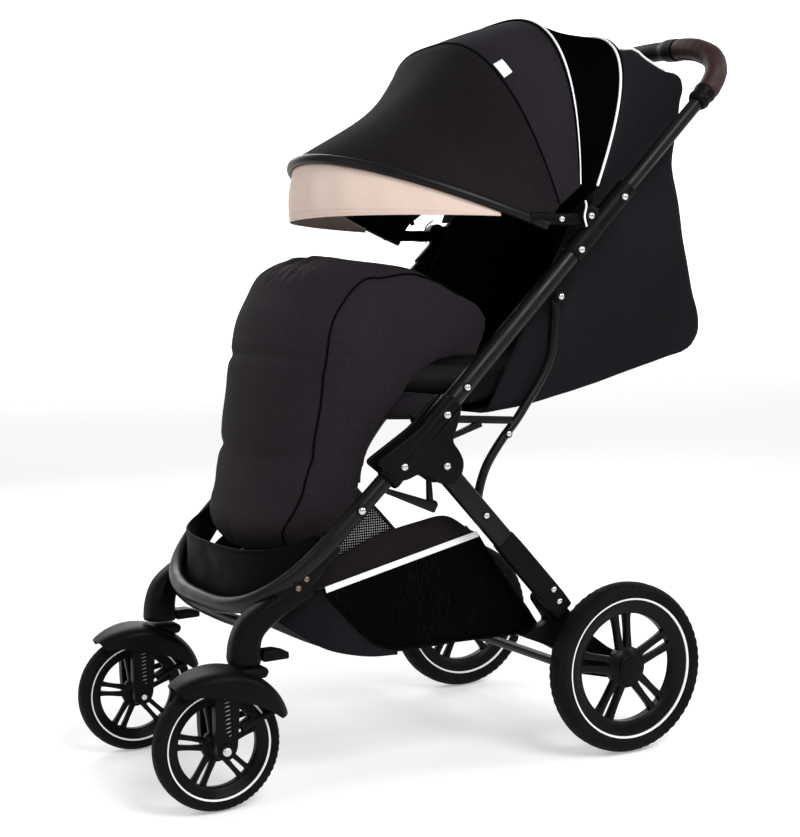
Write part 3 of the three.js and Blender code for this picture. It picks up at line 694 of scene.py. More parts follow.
def make_hub(side, sign):
    """The folding joint: an outer and an inner cover with a raised line along the tube."""
    for cover, offset in (("outer", 16.4), ("inner", -16.4)):
        x = sign * (FRAME_X + offset)
        parts = [slab("plate", rounded(HUB_OUTLINE, 9), x, 6.2, "fine_plastic", 2.4, 4)]
        if cover == "outer":
            saddle = [(sign * (FRAME_X + 5), *on_tube(s, 1)) for s in (24, 20, -20, -60, -100, -116, -120)]
            widths = [(14.5, 14), (15.8, 16.4), (16, 16.8), (16, 16.8), (15.6, 17), (15.2, 17.4),
                      (13.6, 15.8)]
            parts.append(sweep("saddle", saddle, widths, "fine_plastic", 36, 2.3))
            face = sign * (FRAME_X + 20.2)
            lip = [(face, *on_tube(22, -9)), (face, *on_tube(-30, -8)), (face, *on_tube(-58, -4)),
                   (face - sign * 2, *on_tube(-70, 4)), (face - sign * 8, *on_tube(-72, 12))]
            parts.append(sweep("lip", smooth(lip, 60), 1.5, "fine_plastic", 10))
        made = joined(f"{side}_{cover}_cover_skin", parts)
        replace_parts(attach(made, "front_frame"), f"{side}_hub_{cover}_cover")
    cover_face = FRAME_X + 19.3
    pin = joined(f"{side}_pivot_pin_skin", bolt((sign * cover_face, *FOLD_PIVOT), sign, 5.6)
                 + [turned("shaft", [(0, -19 * sign), (4, -19 * sign), (4, 19 * sign), (0, 19 * sign)],
                           (sign * FRAME_X, *FOLD_PIVOT), "steel", 20)])
    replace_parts(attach(pin, "front_frame"), f"{side}_fold_pivot_pin")
    hub_places = [(cover_face, -344, 438), (cover_face, -280, 434), (FRAME_X + 11.4, -405, 384)]
    bolts(f"{side}_hub_bolts", hub_places, sign, "front_frame", 5.4)
    bolts(f"{side}_tube_bolt", [(FRAME_X + 12.6, *on_tube(50))], sign, "handle_frame", 5.0)
    web = FRAME_X - 24
    links = [
        sweep("flat_link", [(sign * web, -366, 409), (sign * web, -279, 374)], (3, 7.5), "frame_tube", 12, 5),
        sweep("post", [(sign * web, -286, 424), (sign * web, -285, 374)], (3, 4.6), "frame_tube", 12, 5),
        sweep("brace", [(sign * (web + 6), -282, 459), (sign * (web + 6), -206, 485)], (2.6, 5), "frame_tube",
              12, 5),
    ]
    made = joined(f"{side}_inner_links", links)
    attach(made, "front_frame")
    bolts(f"{side}_link_bolts", [(web + 3.2, -281, 378), (web + 3.2, -362, 407)], sign, "front_frame", 4.4)


def make_rear_leg(side, sign):
    """A flat oval leg with a moulded shoe at its foot that holds the axle."""
    end = (-92, 214)
    direction = np.array(end, float) - np.array(LEG_PIVOT, float)
    direction /= np.linalg.norm(direction)
    joint = np.array(LEG_PIVOT, float) + direction * 152
    path = [(sign * FRAME_X, *LEG_PIVOT), (sign * FRAME_X, *joint)]
    upper = sweep("upper", straight(*path, 6), (9.6, 14.6), "frame_tube", 32, 4)
    shoe_path = straight((sign * FRAME_X, *(joint - direction * 6)), (sign * FRAME_X, *end), 8)
    widths = [(10.6, 15.6), (11, 16.4), (11, 16.5), (11, 16.5), (11, 16.5), (11, 16.5), (11, 16.4), (10, 15)]
    shoe = sweep("shoe", shoe_path, widths, "fine_plastic", 32, 5)
    knuckle = turned("knuckle", [(0, -10.5), (16, -10.5), (17, -9.5), (17, 9.5), (16, 10.5), (0, 10.5)],
                     (sign * FRAME_X, *LEG_PIVOT), "fine_plastic", 40)
    leg = joined(f"{side}_rear_leg_skin", [upper, shoe, knuckle])
    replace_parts(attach(leg, "rear_frame"), f"{side}_rear_leg")
    bracket = slab("bracket", rounded([
        (-128, 232), (-104, 196), (-152, 180), (-106, 160), (-20, 106), (6, 104), (17, 118), (14, 136),
        (-4, 144), (-40, 172), (-90, 230), (-110, 246)], 9), sign * 202, 20, "fine_plastic", 3, 4)
    collar = turned("collar", [(7, -13), (17, -13), (18, -11), (18, 11), (16, 14), (7, 14)],
                    (sign * 206, 0, REAR_R), "fine_plastic", 40)
    foot = joined(f"{side}_axle_bracket_skin", [bracket, collar])
    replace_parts(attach(foot, "rear_frame"), f"{side}_axle_bracket")
    bolts(f"{side}_leg_bolts", [(FRAME_X + 9.4, -216, 360), (FRAME_X + 10.8, -103, 228),
                                (FRAME_X + 10.8, -112, 246)], sign, "rear_frame", 4.6)


def make_strut(side, sign):
    top = on_tube(250, -33)
    path = [top, (-71, 642), (-74, 610), (-80, 573), (-98, 540), (-123, 508), (-142, 484), (-163, 462),
            (-186, 433), (-198, 411), (-206, 386), (-208, 368)]
    made = sweep(f"{side}_side_strut_skin", smooth([(sign * 197, y, z) for y, z in path], 70), 6.4,
                 "frame_tube", 20)
    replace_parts(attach(made, f"{side}_side_strut"), f"{side}_side_strut")
    bolts(f"{side}_strut_bolt", [(203, -158, 467)], sign, f"{side}_side_strut", 4.4)


# ---- handle ----
def handle_path(sign):
    bend = [(222.5, 202, 976), (206, 209, 999), (176, 208, 1014), (150, 207, 1020),
            (CENTRE_HALF + 1.2, 206, 1022)]
    return [in_tube(sign, COLLAR_START + 26.6), in_tube(sign, COLLAR_START + 37),
            *((sign * x, y, z) for x, y, z in bend)]


def stitches(name, path, pitch, length, r, look):
    """A row of short thread stitches along a path."""
    parts = []
    total = np.linalg.norm(np.diff(path, axis=0), axis=1).sum()
    even = smooth(path, int(total / pitch) * 2 + 1)
    for a, b in zip(even[::2], even[1::2]):
        middle, half = (a + b) / 2, (b - a) / np.linalg.norm(b - a) * length / 2
        spine = np.array([middle - half, middle - half * 0.6, middle + half * 0.6, middle + half])
        parts.append(sweep("stitch", spine, [r * 0.4, r, r, r * 0.4], look, 6, start=(0.3, 0.5, 0.8)))
    return joined(name, parts)


def make_handle():
    for side, sign in SIDES:
        path = smooth(handle_path(sign), 64)
        swell = [16.2 + 0.10 * math.sin(k * 0.9) + 0.06 * math.sin(k * 2.3) for k in range(64)]
        swell[0] = swell[-1] = 14.6
        swell[1] = swell[-2] = 16.0
        grip = sweep(f"{side}_grip_skin", path, swell, "grip_leather", 36)
        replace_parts(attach(grip, "handle"), f"{side}_handle_grip")
        across, up = frames_along(path)
        for index, angle in enumerate((-0.18, 0.18)):
            inward = -sign * math.cos(angle)
            seam = path + across * inward * 16.6 + up * math.sin(angle) * 16.6
            row_of = stitches(f"{side}_grip_stitch_{index}", seam[2:-2], 3.2, 4.0, 0.55, "thread")
            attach(row_of, "handle")
    xs = np.linspace(-CENTRE_HALF, CENTRE_HALF, 41)
    path = [(x, mix(206, 203, 1 - abs(x) / CENTRE_HALF), mix(1022, 1029, 1 - (x / CENTRE_HALF) ** 2))
            for x in xs]
    widths = [17.2 if abs(x) > 104 else mix(17.2, 14.4, min(1, (104 - abs(x)) / 10)) for x in xs]
    made = sweep("handle_centre_skin", path, widths, "fine_plastic", 32, start=(0, 0, 1))
    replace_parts(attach(made, "handle"), "handle_centre")
    outline = rounded([(207.5, 1018), (221.2, 1018), (221.2, 1040), (207.5, 1040)], 4)
    button = slab("fold_button_skin", outline, 0, 31, "fine_plastic", 2.4, 4)
    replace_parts(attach(button, "fold_button"), "fold_button")


# ---- wheels ----
TREAD_STEPS = 240
GROOVE = -0.9
SPOKE_PAIRS = 5


def mirrored(half):
    """A profile of (radius, along) from its first half."""
    return half + [(radius, -along) for radius, along in half[::-1]]


def make_wheel(name, place, radius, half, body, nodes, outside):
    """A foam tyre with a ridged shoulder, a white line and a five-pair spoked rim."""
    section = mirrored([(0.80, -0.62), (0.83, -0.80), (0.88, -0.97), (0.925, -1.0), (0.955, -0.90),
                        (0.98, -0.66), (0.995, -0.40), (1.0, -0.14)])
    profile = [(r * radius, w * half) for r, w in section]

    def ridge(i, j):
        in_middle = j in (7, 8) and i % 8 in (0, 1)
        on_shoulder = j in (4, 5, 10, 11) and i % 4 in (0, 1)
        return GROOVE if in_middle or on_shoulder else 0

    tyre = turned(f"{name}_tyre_skin", profile, place, "tyre", TREAD_STEPS, bumps=ridge,
                  smooth_under=35)
    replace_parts(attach(tyre, body), nodes[0])
    lines = []
    for face in (-1, 1):
        r0, r1 = 0.802 * radius, 0.802 * radius + max(2.2, 0.022 * radius)
        base = half * 0.66
        outline = [(r0, face * (base - 2)), (r0, face * (base + 0.9)), (r1, face * (base + 2.1)),
                   (r1 + 0.4, face * (base - 1))]
        lines.append(turned("line", outline, place, "piping", 120))
    line = joined(f"{name}_tyre_line", lines)
    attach(line, body)
    rim = make_rim(name, place, radius, half, outside)
    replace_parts(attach(rim, body), nodes[1])


def make_rim(name, place, radius, half, outside):
    """The rim's ring, hub, paired spokes and cap."""
    x, y, z = place
    outer = 0.80 * radius - 0.2
    deep = half * 0.66
    ring_profile = mirrored([(outer, -deep), (outer - 0.02 * radius, -deep - 0.6),
                             (0.70 * radius, -deep * 0.72), (0.652 * radius, -deep * 0.60),
                             (0.636 * radius, -deep * 0.45)])
    parts = [turned("ring", ring_profile, place, "wheel_rim", 96)]
    hub = mirrored([(0.05 * radius, -deep - 2), (0.15 * radius, -deep - 2), (0.18 * radius, -deep * 0.9),
                    (0.21 * radius, -deep * 0.5), (0.245 * radius, -deep * 0.36)])
    parts.append(turned("hub", hub, place, "wheel_rim", 64))
    spine = [(0.17, 0.050), (0.30, 0.062), (0.45, 0.072), (0.58, 0.080), (0.68, 0.092)]
    sizes = [(deep * 0.44, 0.052 * radius), (deep * 0.44, 0.044 * radius), (deep * 0.46, 0.038 * radius),
             (deep * 0.50, 0.040 * radius), (deep * 0.56, 0.052 * radius)]
    even = [[np.interp(k / 13, np.linspace(0, 1, 5), [s[c] for s in sizes]) for c in (0, 1)]
            for k in range(14)]
    for i in range(SPOKE_PAIRS):
        turn = 2 * math.pi * i / SPOKE_PAIRS + math.pi / 2 + 0.09
        c, s = math.cos(turn), math.sin(turn)
        for lean in (-1, 1):
            path = []
            for reach, off in spine:
                a, b = reach * radius, lean * off * radius
                path.append((x, y + a * c - b * s, z + a * s + b * c))
            parts.append(sweep("spoke", smooth(path, 14), even, "wheel_rim", 20, 3.6))
    cap_face = outside * (deep + 2)
    cap = [(r * radius, cap_face + outside * out) for r, out in
           ((0, -3), (0.165, -3), (0.165, 1.0), (0.15, 2.4), (0.12, 3.0), (0, 3.0))]
    parts.append(turned("cap", cap, place, "fine_plastic", 48))
    return joined(f"{name}_rim_skin", parts)


def make_wheels():
    for side, sign in SIDES:
        make_wheel(f"{side}_rear", (sign * REAR_X, 0, REAR_R), REAR_R, 20.3, f"{side}_rear_wheel",
                   (f"{side}_rear_tyre", f"{side}_rear_rim"), sign)
        make_wheel(f"{side}_front", (sign * FRONT_X, FRONT_AXLE_Y, FRONT_R), FRONT_R, 17,
                   f"{side}_front_wheel", (f"{side}_front_tyre", f"{side}_front_rim"), sign)


# ---- front legs and casters ----
COIL_TURNS = 9


def make_front_leg(side, sign):
    """The moulded leg that grips the footrest loop and curves down to the caster."""
    spine = smooth([(sign * 190, -466, 284), (sign * 188, -494, 272), (sign * 184, -524, 256),
                    (sign * 179, -545, 238), (sign * 175, -554, 216), (sign * 174, -556, 190.5)], 26)
    sizes = [(mix(17, 22.5, k / 25) if k > 3 else 17, mix(14, 22.5, (k / 25) ** 1.3)) for k in range(26)]
    sizes[0] = (14.5, 11.5)
    sizes[-1] = (21, 21)
    body = sweep("body", spine, sizes, "fine_plastic", 40, 3.2)
    clamp = sweep("clamp", smooth([(sign * 214, -440, 344), (sign * 209, -462, 318), (sign * 203, -484, 292),
                                   (sign * 192, -506, 272)], 16), (12, 15.5), "fine_plastic", 32, 3)
    leg = joined(f"{side}_front_leg_skin", [body, clamp])
    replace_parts(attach(leg, "front_frame"), f"{side}_front_leg")
    rivets = []
    for y, z in ((-480, 299), (-492, 288)):
        rivets += bolt((sign * 217, y, z), sign, 4.2, "bronze")
    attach(joined(f"{side}_leg_rivets", rivets), "front_frame")


def make_caster(side, sign):
    """The fork with its slots, springs and braces, the fender and the swivel lock lever."""
    x = sign * FRONT_X
    body = f"{side}_caster"
    crown = rounded([(-590, 174), (-586, 186), (-534, 186), (-530, 180), (-534, 172), (-586, 170)], 4)
    parts = [slab("crown", crown, x, 54, "fine_plastic", 3.2, 4)]
    for lean in (-1, 1):
        middle = x + lean * 30.2
        arm = slab("arm", rounded([(-611, 78), (-593, 73), (-583, 86), (-577, 150), (-566, 172), (-566, 178),
                                   (-590, 178), (-604, 170), (-611, 150), (-612, 110)], 8), middle, 15,
                   "fine_plastic", 3, 4)
        parts.append(arm)
        slot_face = middle + lean * 7.2
        slot = [(slot_face, y, z) for y, z in
                ((-602, 104), (-602, 158), (-588, 158), (-588, 104), (-602, 104))]
        parts.append(sweep("slot_edge", slot, 1.3, "black_plastic", 8))
        coil = []
        steps = COIL_TURNS * 12
        for k in range(steps + 1):
            a = 2 * math.pi * k / 12
            coil.append((slot_face - lean * 1.6 + 2.4 * math.cos(a), -595 + 4.6 * math.sin(a),
                         106 + 50 * k / steps))
        parts.append(sweep("spring", coil, 0.75, "dull_steel", 6))
        tail = x + lean * 17
        brace = smooth([(middle, -574, 110), (tail + lean * 4, -545, 118), (tail, -520, 125)], 10)
        parts.append(sweep("brace", brace, (3, 4.2), "fine_plastic", 12, 4))
    axle = turned("axle", [(0, -44), (4, -44), (4, 44), (0, 44)], (x, FRONT_AXLE_Y, FRONT_R), "steel", 20)
    parts.append(axle)
    fork = joined(f"{side}_fork_skin", parts)
    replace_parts(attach(fork, body), f"{side}_caster_fork")
    bolts(f"{side}_axle_bolt", [(FRONT_X + 39.2, FRONT_AXLE_Y, FRONT_R)], sign, body, 6.4)
    make_fender(side, sign)
    outline = rounded([(-533, 204), (-512, 204), (-496, 199), (-496, 190), (-533, 189.5)], 3)
    lever = slab("lever", outline, x, 26, "fine_plastic", 1.8, 3)
    lever = joined(f"{side}_swivel_lever_skin", [lever])
    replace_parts(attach(lever, f"{side}_swivel_lock"), f"{side}_swivel_lock")


def make_fender(side, sign):
    """A mudguard over the front wheel and the head of its fork, with deep sides."""
    x = sign * FRONT_X
    start, end, outer, half = math.radians(124), math.radians(19), 101, 42

    def point(u, v):
        turn = mix(start, end, v)
        middle = math.sin(math.pi * v) ** 0.8
        across = 1.28 * (2 * u - 1)
        lie = max(-1.0, min(1.0, across))
        skirt = (abs(across) - abs(lie)) / 0.28 * mix(3, 27, middle)
        wide = half * mix(0.62, 1, middle)
        r = outer - 9 * abs(lie) ** 4 - skirt + 1.5 * middle
        return (x + wide * math.copysign(abs(lie) ** 0.85, lie), FRONT_AXLE_Y + r * math.cos(turn),
                FRONT_R + r * math.sin(turn))

    made, _ = sheet(f"{side}_fender_skin", point, 33, 40, "fine_plastic", 2.6)
    finish_mesh(made, "fine_plastic", 45)
    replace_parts(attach(made, f"{side}_caster"), f"{side}_front_fender")


def make_front_end():
    for side, sign in SIDES:
        make_front_leg(side, sign)
        make_caster(side, sign)
    path = smooth([(166, -527, 235), (90, -533, 230), (0, -535, 229), (-90, -533, 230),
                   (-166, -527, 235)], 40)
    bar = sweep("front_cross_bar_skin", path, (8.2, 8.2), "frame_tube", 24, start=(0, 0, 1))
    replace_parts(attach(bar, "front_frame"), "front_cross_bar")


# ---- rear end ----
def make_rear_end():
    tube = sweep("tube", straight((-190, -44, 114), (190, -44, 114)), 7.2, "frame_tube", 20, start=(0, 1, 0))
    tread = slab("tread", rounded([(-50, 120), (-36, 123), (42, 92), (40, 85), (-44, 106)], 4), 150, 62,
                 "fine_plastic", 2.6, 4)
    made = joined("brake_pedal_skin", [tread, tube])
    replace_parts(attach(made, "brake"), "brake_pedal")


# ---- canopy ----
# Each arch: its foot and crown in (y, z), half width, and squareness across and upwards.
ARCHES = {
    "front": dict(foot=(-98, 753), crown=(-369, 864), half=228, n=2.12, rise=1.65),
    "second": dict(foot=(-76, 772), crown=(-156, 1028), half=226, n=2.8, rise=2.1),
    "third": dict(foot=(-42, 785), crown=(-36, 1066), half=221, n=2.78, rise=2.73),
    "rear": dict(foot=(-25, 783), crown=(87, 1045), half=222, n=2.8, rise=2.8),
}


def arch_point(name, angle, out=0.0):
    """A place on a canopy arch, pushed out from it by a distance."""
    arch = ARCHES[name]
    lift = power(math.sin(angle), arch["rise"])
    foot, crown = np.array(arch["foot"], float), np.array(arch["crown"], float)
    length = np.linalg.norm(crown - foot)
    place = foot + (crown - foot) * lift * (length + out) / length
    return np.array([(arch["half"] + out) * power(math.cos(angle), arch["n"]), *place])


def bend_between(made):
    """Bakes a canopy panel's placement into its mesh."""
    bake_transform(made)


def canopy_panel(name, low, high, look, swell, node):
    """Cloth between two arches. swell(v, lift) is its distance out from the straight span."""
    first, last = 0.035, math.pi - 0.035

    def point(u, v):
        angle = mix(first, last, u)
        lift = math.sin(angle)
        out = swell(v, lift) + 0.5 * math.sin(23 * u + 5 * v) * math.sin(math.pi * v) * lift
        return arch_point(low, angle, out) * (1 - v) + arch_point(high, angle, out) * v

    made, size = sheet(name, point, 97, 25, look)
    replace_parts(made, node)
    declare(made, size)
    bend_between(made)
    return made


def arch_tube(name, arch, out, r, look, body, node=None, lift=0.03, squareness=2, sides=16, shift=0):
    """A bow, seam or piping along an arch; shift moves its crown backwards."""
    path = [arch_point(arch, angle, out) + (0, shift * math.sin(angle), 0)
            for angle in np.linspace(lift, math.pi - lift, 97)]
    made = sweep(name, path, r, look, sides, squareness)
    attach(made, body)
    if node:
        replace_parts(made, node)
    return made


def front_swell(v, lift):
    """The front panel is drawn inwards between its bow and the second arch."""
    return 3 - 24 * lift * math.sin(math.pi * v**1.2)


def make_canopy():
    canopy_panel("canopy_front_cloth", "front", "second", "painted_shade_hood_fabric", front_swell,
                 "canopy_front_panel")
    canopy_panel("canopy_middle_cloth", "second", "third", "charcoal_fabric",
                 lambda v, lift: 3 + lift * 2 * math.sin(math.pi * v),
                 "canopy_middle_panel")
    canopy_panel("canopy_vent_cloth", "third", "rear", "black_mesh",
                 lambda v, lift: 2.5 - lift * 5 * math.sin(math.pi * v),
                 "canopy_vent_panel")
    arch_tube("front_bow_skin", "front", 0.0, (5.8, 6.8), "frame_tube", "canopy_front", "canopy_front_bow",
              0.02, 2.4)
    arch_tube("second_bow_skin", "second", -8, 3.5, "black_plastic", "canopy_second", "canopy_second_bow")
    arch_tube("third_bow_skin", "third", -8, 3.5, "black_plastic", "canopy_third", "canopy_third_bow")
    arch_tube("rear_bow_skin", "rear", -8, 3.5, "black_plastic", "handle_frame", "canopy_rear_bow")
    arch_tube("second_seam", "second", 3.4, 1.5, "black_piping", "canopy_second", lift=0.04)
    arch_tube("third_piping", "third", 3.4, 1.9, "piping", "canopy_third", lift=0.04)
    arch_tube("third_hem", "third", 3.0, 2.2, "black_piping", "canopy_third", lift=0.04, shift=-6)
    arch_tube("rear_piping", "rear", 4.0, 1.9, "piping", "handle_frame", lift=0.04)
    arch_tube("rear_hem", "rear", 3.4, 1.6, "black_piping", "handle_frame", lift=0.04, shift=7)
    make_visor()
    make_tag()
    for side, sign in SIDES:
        foot = arch_point("front", 0.16 if sign > 0 else math.pi - 0.16, 0.0)
        hub = np.array([sign * (FRAME_X + 1), HUB_PIVOT[0] - 10, HUB_PIVOT[1] - 5])
        ferrule = sweep(f"{side}_bow_ferrule", straight(foot, hub, 6),
                        [(6.6, 8.4), (7.2, 9.2), (7.2, 9.2), (6.4, 8.6), (6.4, 9.6), (5.6, 8)],
                        "fine_plastic", 20, 3, start=(sign, 0, 0))
        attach(ferrule, "canopy_front")
        middle = foot * 0.42 + hub * 0.58
        bolts(f"{side}_ferrule_bolt", [(abs(middle[0]) + 5.6, *middle[1:])], sign, "canopy_front", 4.6)
        loop = [(sign * (FRAME_X + out), y, z) for out, y, z in
                ((3, -36, 788), (14, -42, 780), (15, -46, 766), (15, -43, 752))]
        tab = sweep(f"{side}_piping_end", smooth(loop, 24), 1.4, "piping", 10)
        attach(tab, "handle_frame")


def make_visor():
    """The cream peak that hangs from the front bow, deep in front and nothing at its ends."""
    first, last = 0.33, math.pi - 0.33

    def point(u, v):
        angle = mix(first, last, u)
        top = arch_point("front", angle, -3)
        hem = 766 + 15 * math.sin(angle)
        high = max(top[2] - 5, hem + 0.5)
        gather = (1.5 * math.sin(61 * u) * v * (1 - v) * 4 + 1.1 * math.sin(19 * u + 2) * v) * math.sin(angle)
        belly = (3.5 * math.sin(math.pi * v) + 7 * v) * math.sin(angle)
        scale = 1 + (belly + gather) / 290
        foot = ARCHES["front"]["foot"][0]
        return (top[0] * scale, foot + (top[1] - foot) * scale, mix(high, hem, v))

    made, size = sheet("visor_cloth", point, 121, 15, "cream_fabric", 1.8)
    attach(made, "canopy_front")
    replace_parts(made, "canopy_visor")
    hem = [np.array(point(u, 1.0)) for u in np.linspace(0, 1, 90)]
    edge = sweep("visor_hem", hem, (1.7, 1.7), "cream_fabric", 10)
    seam = np.array([point(u, 0.88) for u in np.linspace(0.04, 0.96, 90)]) * np.array([1.004, 1.003, 1])
    line = stitches("visor_stitch", seam, 3.5, 3.4, 0.4, "cream_fabric")
    for extra in (edge, line):
        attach(extra, "canopy_front")
    declare(made, size)


def make_tag():
    """A blank sewn label beside the seam between the two front panels."""
    def point(u, v):
        start = arch_point("second", mix(0.93, 0.80, u), 4.6)
        ahead = arch_point("third", mix(0.98, 0.86, u), 5.4)
        return start + (ahead - start) * mix(0.03, 0.18, v)

    made, size = sheet("blank_label", point, 9, 7, "piping", 0.7)
    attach(made, "canopy_second")
    declare(made, size)


# ---- cloth swelling ----
def remeshed(made, voxel):
    change = made.modifiers.new("even", "REMESH")
    change.mode = "VOXEL"
    change.voxel_size = voxel * MM
    return applied(made)


def coordinates(mesh):
    found = np.zeros(len(mesh.vertices) * 3)
    mesh.vertices.foreach_get("co", found)
    return found.reshape(-1, 3)


def swollen(made, voxel, cap, pressure=4.0, frames=20):
    """Remeshes a closed shape evenly and lets cloth pressure swell it, by no more than cap."""
    remeshed(made, voxel)
    start = coordinates(made.data)
    cloth = made.modifiers.new("swell", "CLOTH")
    cloth.settings.quality = 5
    cloth.settings.mass = 0.3
    cloth.settings.tension_stiffness = 12
    cloth.settings.compression_stiffness = 6
    cloth.settings.shear_stiffness = 4
    cloth.settings.bending_stiffness = 0.4
    cloth.settings.use_pressure = True
    cloth.settings.uniform_pressure_force = pressure
    cloth.settings.effector_weights.gravity = 0
    cloth.point_cache.frame_start = 1
    cloth.point_cache.frame_end = frames
    scene = bpy.context.scene
    for number in range(1, frames + 1):
        scene.frame_set(number)
    applied(made)
    scene.frame_set(1)
    moved = coordinates(made.data) - start
    length = np.linalg.norm(moved, axis=1)[:, None]
    moved *= np.minimum(1, cap * MM / np.maximum(length, 1e-9))
    made.data.vertices.foreach_set("co", (start + moved).ravel())
    made.data.update()
    return made


def pressed(made, paths, depth, width):
    """Pulls the surface in along sewn lines."""
    co = coordinates(made.data)
    normals = np.zeros(len(made.data.vertices) * 3)
    made.data.vertices.foreach_get("normal", normals)
    normals = normals.reshape(-1, 3)
    pull = np.zeros(len(co))
    for path in paths:
        line = np.array([row(*p) for p in smooth(path, 160)])
        for chunk in range(0, len(co), 4000):
            near = np.linalg.norm(co[chunk:chunk + 4000, None, :] - line[None], axis=2).min(axis=1)
            here = slice(chunk, chunk + 4000)
            pull[here] = np.maximum(pull[here], np.exp(-(near / (width * MM)) ** 2))
    made.data.vertices.foreach_set("co", (co - normals * (pull * depth * MM)[:, None]).ravel())
    made.data.update()
    return made


def softened(made, look, times=3):
    """Relaxes a remeshed piece, divides it once and gives it its look."""
    relax = made.modifiers.new("relax", "SMOOTH")
    relax.factor = 0.5
    relax.iterations = times
    divide = made.modifiers.new("fine", "SUBSURF")
    divide.levels = 1
    divide.render_levels = 1
    applied(made)
    finish_mesh(made, look, 180)
    return made


# ---- seat ----
def pad(name, outline, half, look, cap, body, node, seams, voxel=6):
    """A crowned cushion from its side outline, swelled as cloth and then sewn across."""
    made = slab(name, rounded(outline, 8), 0, 2 * half, look, 7, 3)
    swollen(made, voxel, cap)
    pressed(made, seams, 5, 7)
    softened(made, look)
    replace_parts(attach(made, body), node)
    return made


def across(y, z, half):
    return [(-half, y, z), (0, y, z), (half, y, z)]


def make_seat():
    half = 158
    pad("seat_cushion_cloth", [(-220, 493), (-220, 516), (-238, 521), (-390, 530), (-402, 522), (-402, 508),
                               (-390, 502)], half, "charcoal_fabric", 5, "front_frame", "seat_cushion",
        [across(-290, 533, half), across(-340, 536, half)])
    slope = math.radians(12.5)
    place = lambda s, off: (-212 + math.cos(slope) * s - math.sin(slope) * off,
                            505 + math.sin(slope) * s + math.cos(slope) * off)
    outline = [place(14, -1), place(376, -1), place(382, 5), place(382, 17), place(370, 26), place(28, 26),
               place(16, 17)]
    seams = [across(*place(s, 32), half) for s in (110, 200, 290)]
    back = pad("backrest_cloth", outline, half, "charcoal_fabric", 5, "backrest", "backrest", seams)
    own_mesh(back)
    pad("calf_rest_cloth", [(-412, 488), (-403, 484), (-443, 352), (-451, 354)], 118, "charcoal_fabric", 3,
        "calf_rest", "calf_rest", [across(-433, 420, 118)], 5)


def interpolated(stations, v):
    values = np.array(stations, float)
    place = v * (len(values) - 1)
    low = min(int(place), len(values) - 2)
    return values[low] + (values[low + 1] - values[low]) * (place - low)


COVER_CORNER = 13
# Fan stations about the canopy's pivot: degrees up from the back, reach,
# half width at its foot and at its roof.
COVER_STATIONS = [
    (67.3, 284, 222, 146), (62, 271, 214, 150), (56.4, 263, 206, 156), (49.6, 262, 198, 172),
    (46, 266, 192, 190),
    (42, 257, 190, 190), (38.8, 237, 190, 190), (28, 198, 190, 190), (18, 179, 190, 190), (3, 180, 190, 190),
    (-13, 191, 190, 190), (-24, 212, 190, 190), (-32.6, 238, 190, 190), (-38, 266, 190, 190),
    (-42.2, 282, 190, 190), (-46, 287, 190, 190), (-50, 282, 190, 190), (-57.5, 266, 190, 190),
    (-71, 253, 190, 190), (-85, 256, 190, 190), (-98.7, 272, 190, 190), (-112, 305, 188, 188),
    (-119.4, 330, 186, 186),
]


def box_section(u, half, reach, corner):
    """Round one side, the back and the other side of a box, as (x, distance out)."""
    side, arc, back = reach - corner, corner * math.pi / 2, half - corner
    along = (side + arc + back) * (1 - abs(2 * u - 1))
    if along < side:
        x, out = half, along
    elif along < side + arc:
        turn = (along - side) / corner
        x, out = half - corner + corner * math.cos(turn), side + corner * math.sin(turn)
    else:
        x, out = half - corner - (along - side - arc), reach
    return (x if u < 0.5 else -x), out


def make_back_cover():
    """The tent of cloth from the rear arch down behind the reclined seat and forward under it."""
    stations = smooth(COVER_STATIONS, 80)
    centre = (-22, 784)

    def point(u, v):
        degrees, reach, half, roof = interpolated(stations, v)
        turn = math.radians(degrees)
        angle = math.pi * u
        round_x = half * power(math.cos(angle), 2.8)
        round_out = reach * power(math.sin(angle), 2.8)
        box_x, box_out = box_section(u, half, reach, COVER_CORNER)
        box_x *= 1 - (1 - roof / half) * (box_out / reach) ** 2
        share = min(1.0, v / 0.05)
        x, out = mix(round_x, box_x, share), mix(round_out, box_out, share)
        on_wall = abs(x) > half - 8 and abs(box_x) >= half - 0.01
        sag = 3.0 * math.sin(math.pi * min(1, out / reach)) * math.sin(math.pi * v) if on_wall else 0
        ripple = 1.0 * math.sin(9 * v + 4 * u) * share
        return (x - math.copysign(sag, x), centre[0] + (out + ripple) * math.cos(turn),
                centre[1] + (out + ripple) * math.sin(turn))

    made, size = sheet("back_cover_cloth", point, 161, 90, "painted_shade_cover_fabric", 2.0)
    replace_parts(made, "seat_back_cover")
    declare(made, size)
    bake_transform(made)
    for side, sign in SIDES:
        roof = [(sign * 140, 76, 1032), (sign * 146, 98, 1027), (sign * 152, 124, 1004),
                (sign * 166, 148, 984), (sign * 184, 158, 970)]
        corner = hugging(f"{side}_rear_corner_piping", made, smooth(roof, 60), 1.9, "piping")
        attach(corner, "handle_frame")
        edge = [np.array(point(0.5 - sign * w, v)) for v, w in
                ((v, corner_share(interpolated(stations, v))) for v in np.linspace(0.14, 0.985, 110))]
        line = sweep(f"{side}_cover_corner_seam", np.array(edge), 1.6, "painted_shade_cover_fabric", 10)
        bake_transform(line)


def corner_share(station):
    """How far from the middle the corner of the cover lies, as a share of its section."""
    _, reach, half, _ = station
    side, arc, back = reach - COVER_CORNER, COVER_CORNER * math.pi / 2, half - COVER_CORNER
    return 0.5 - 0.5 * (side + arc / 2) / (side + arc + back)


# ---- footmuff ----
MUFF_PIVOT = (-215, 500)
MUFF_HALF = 187
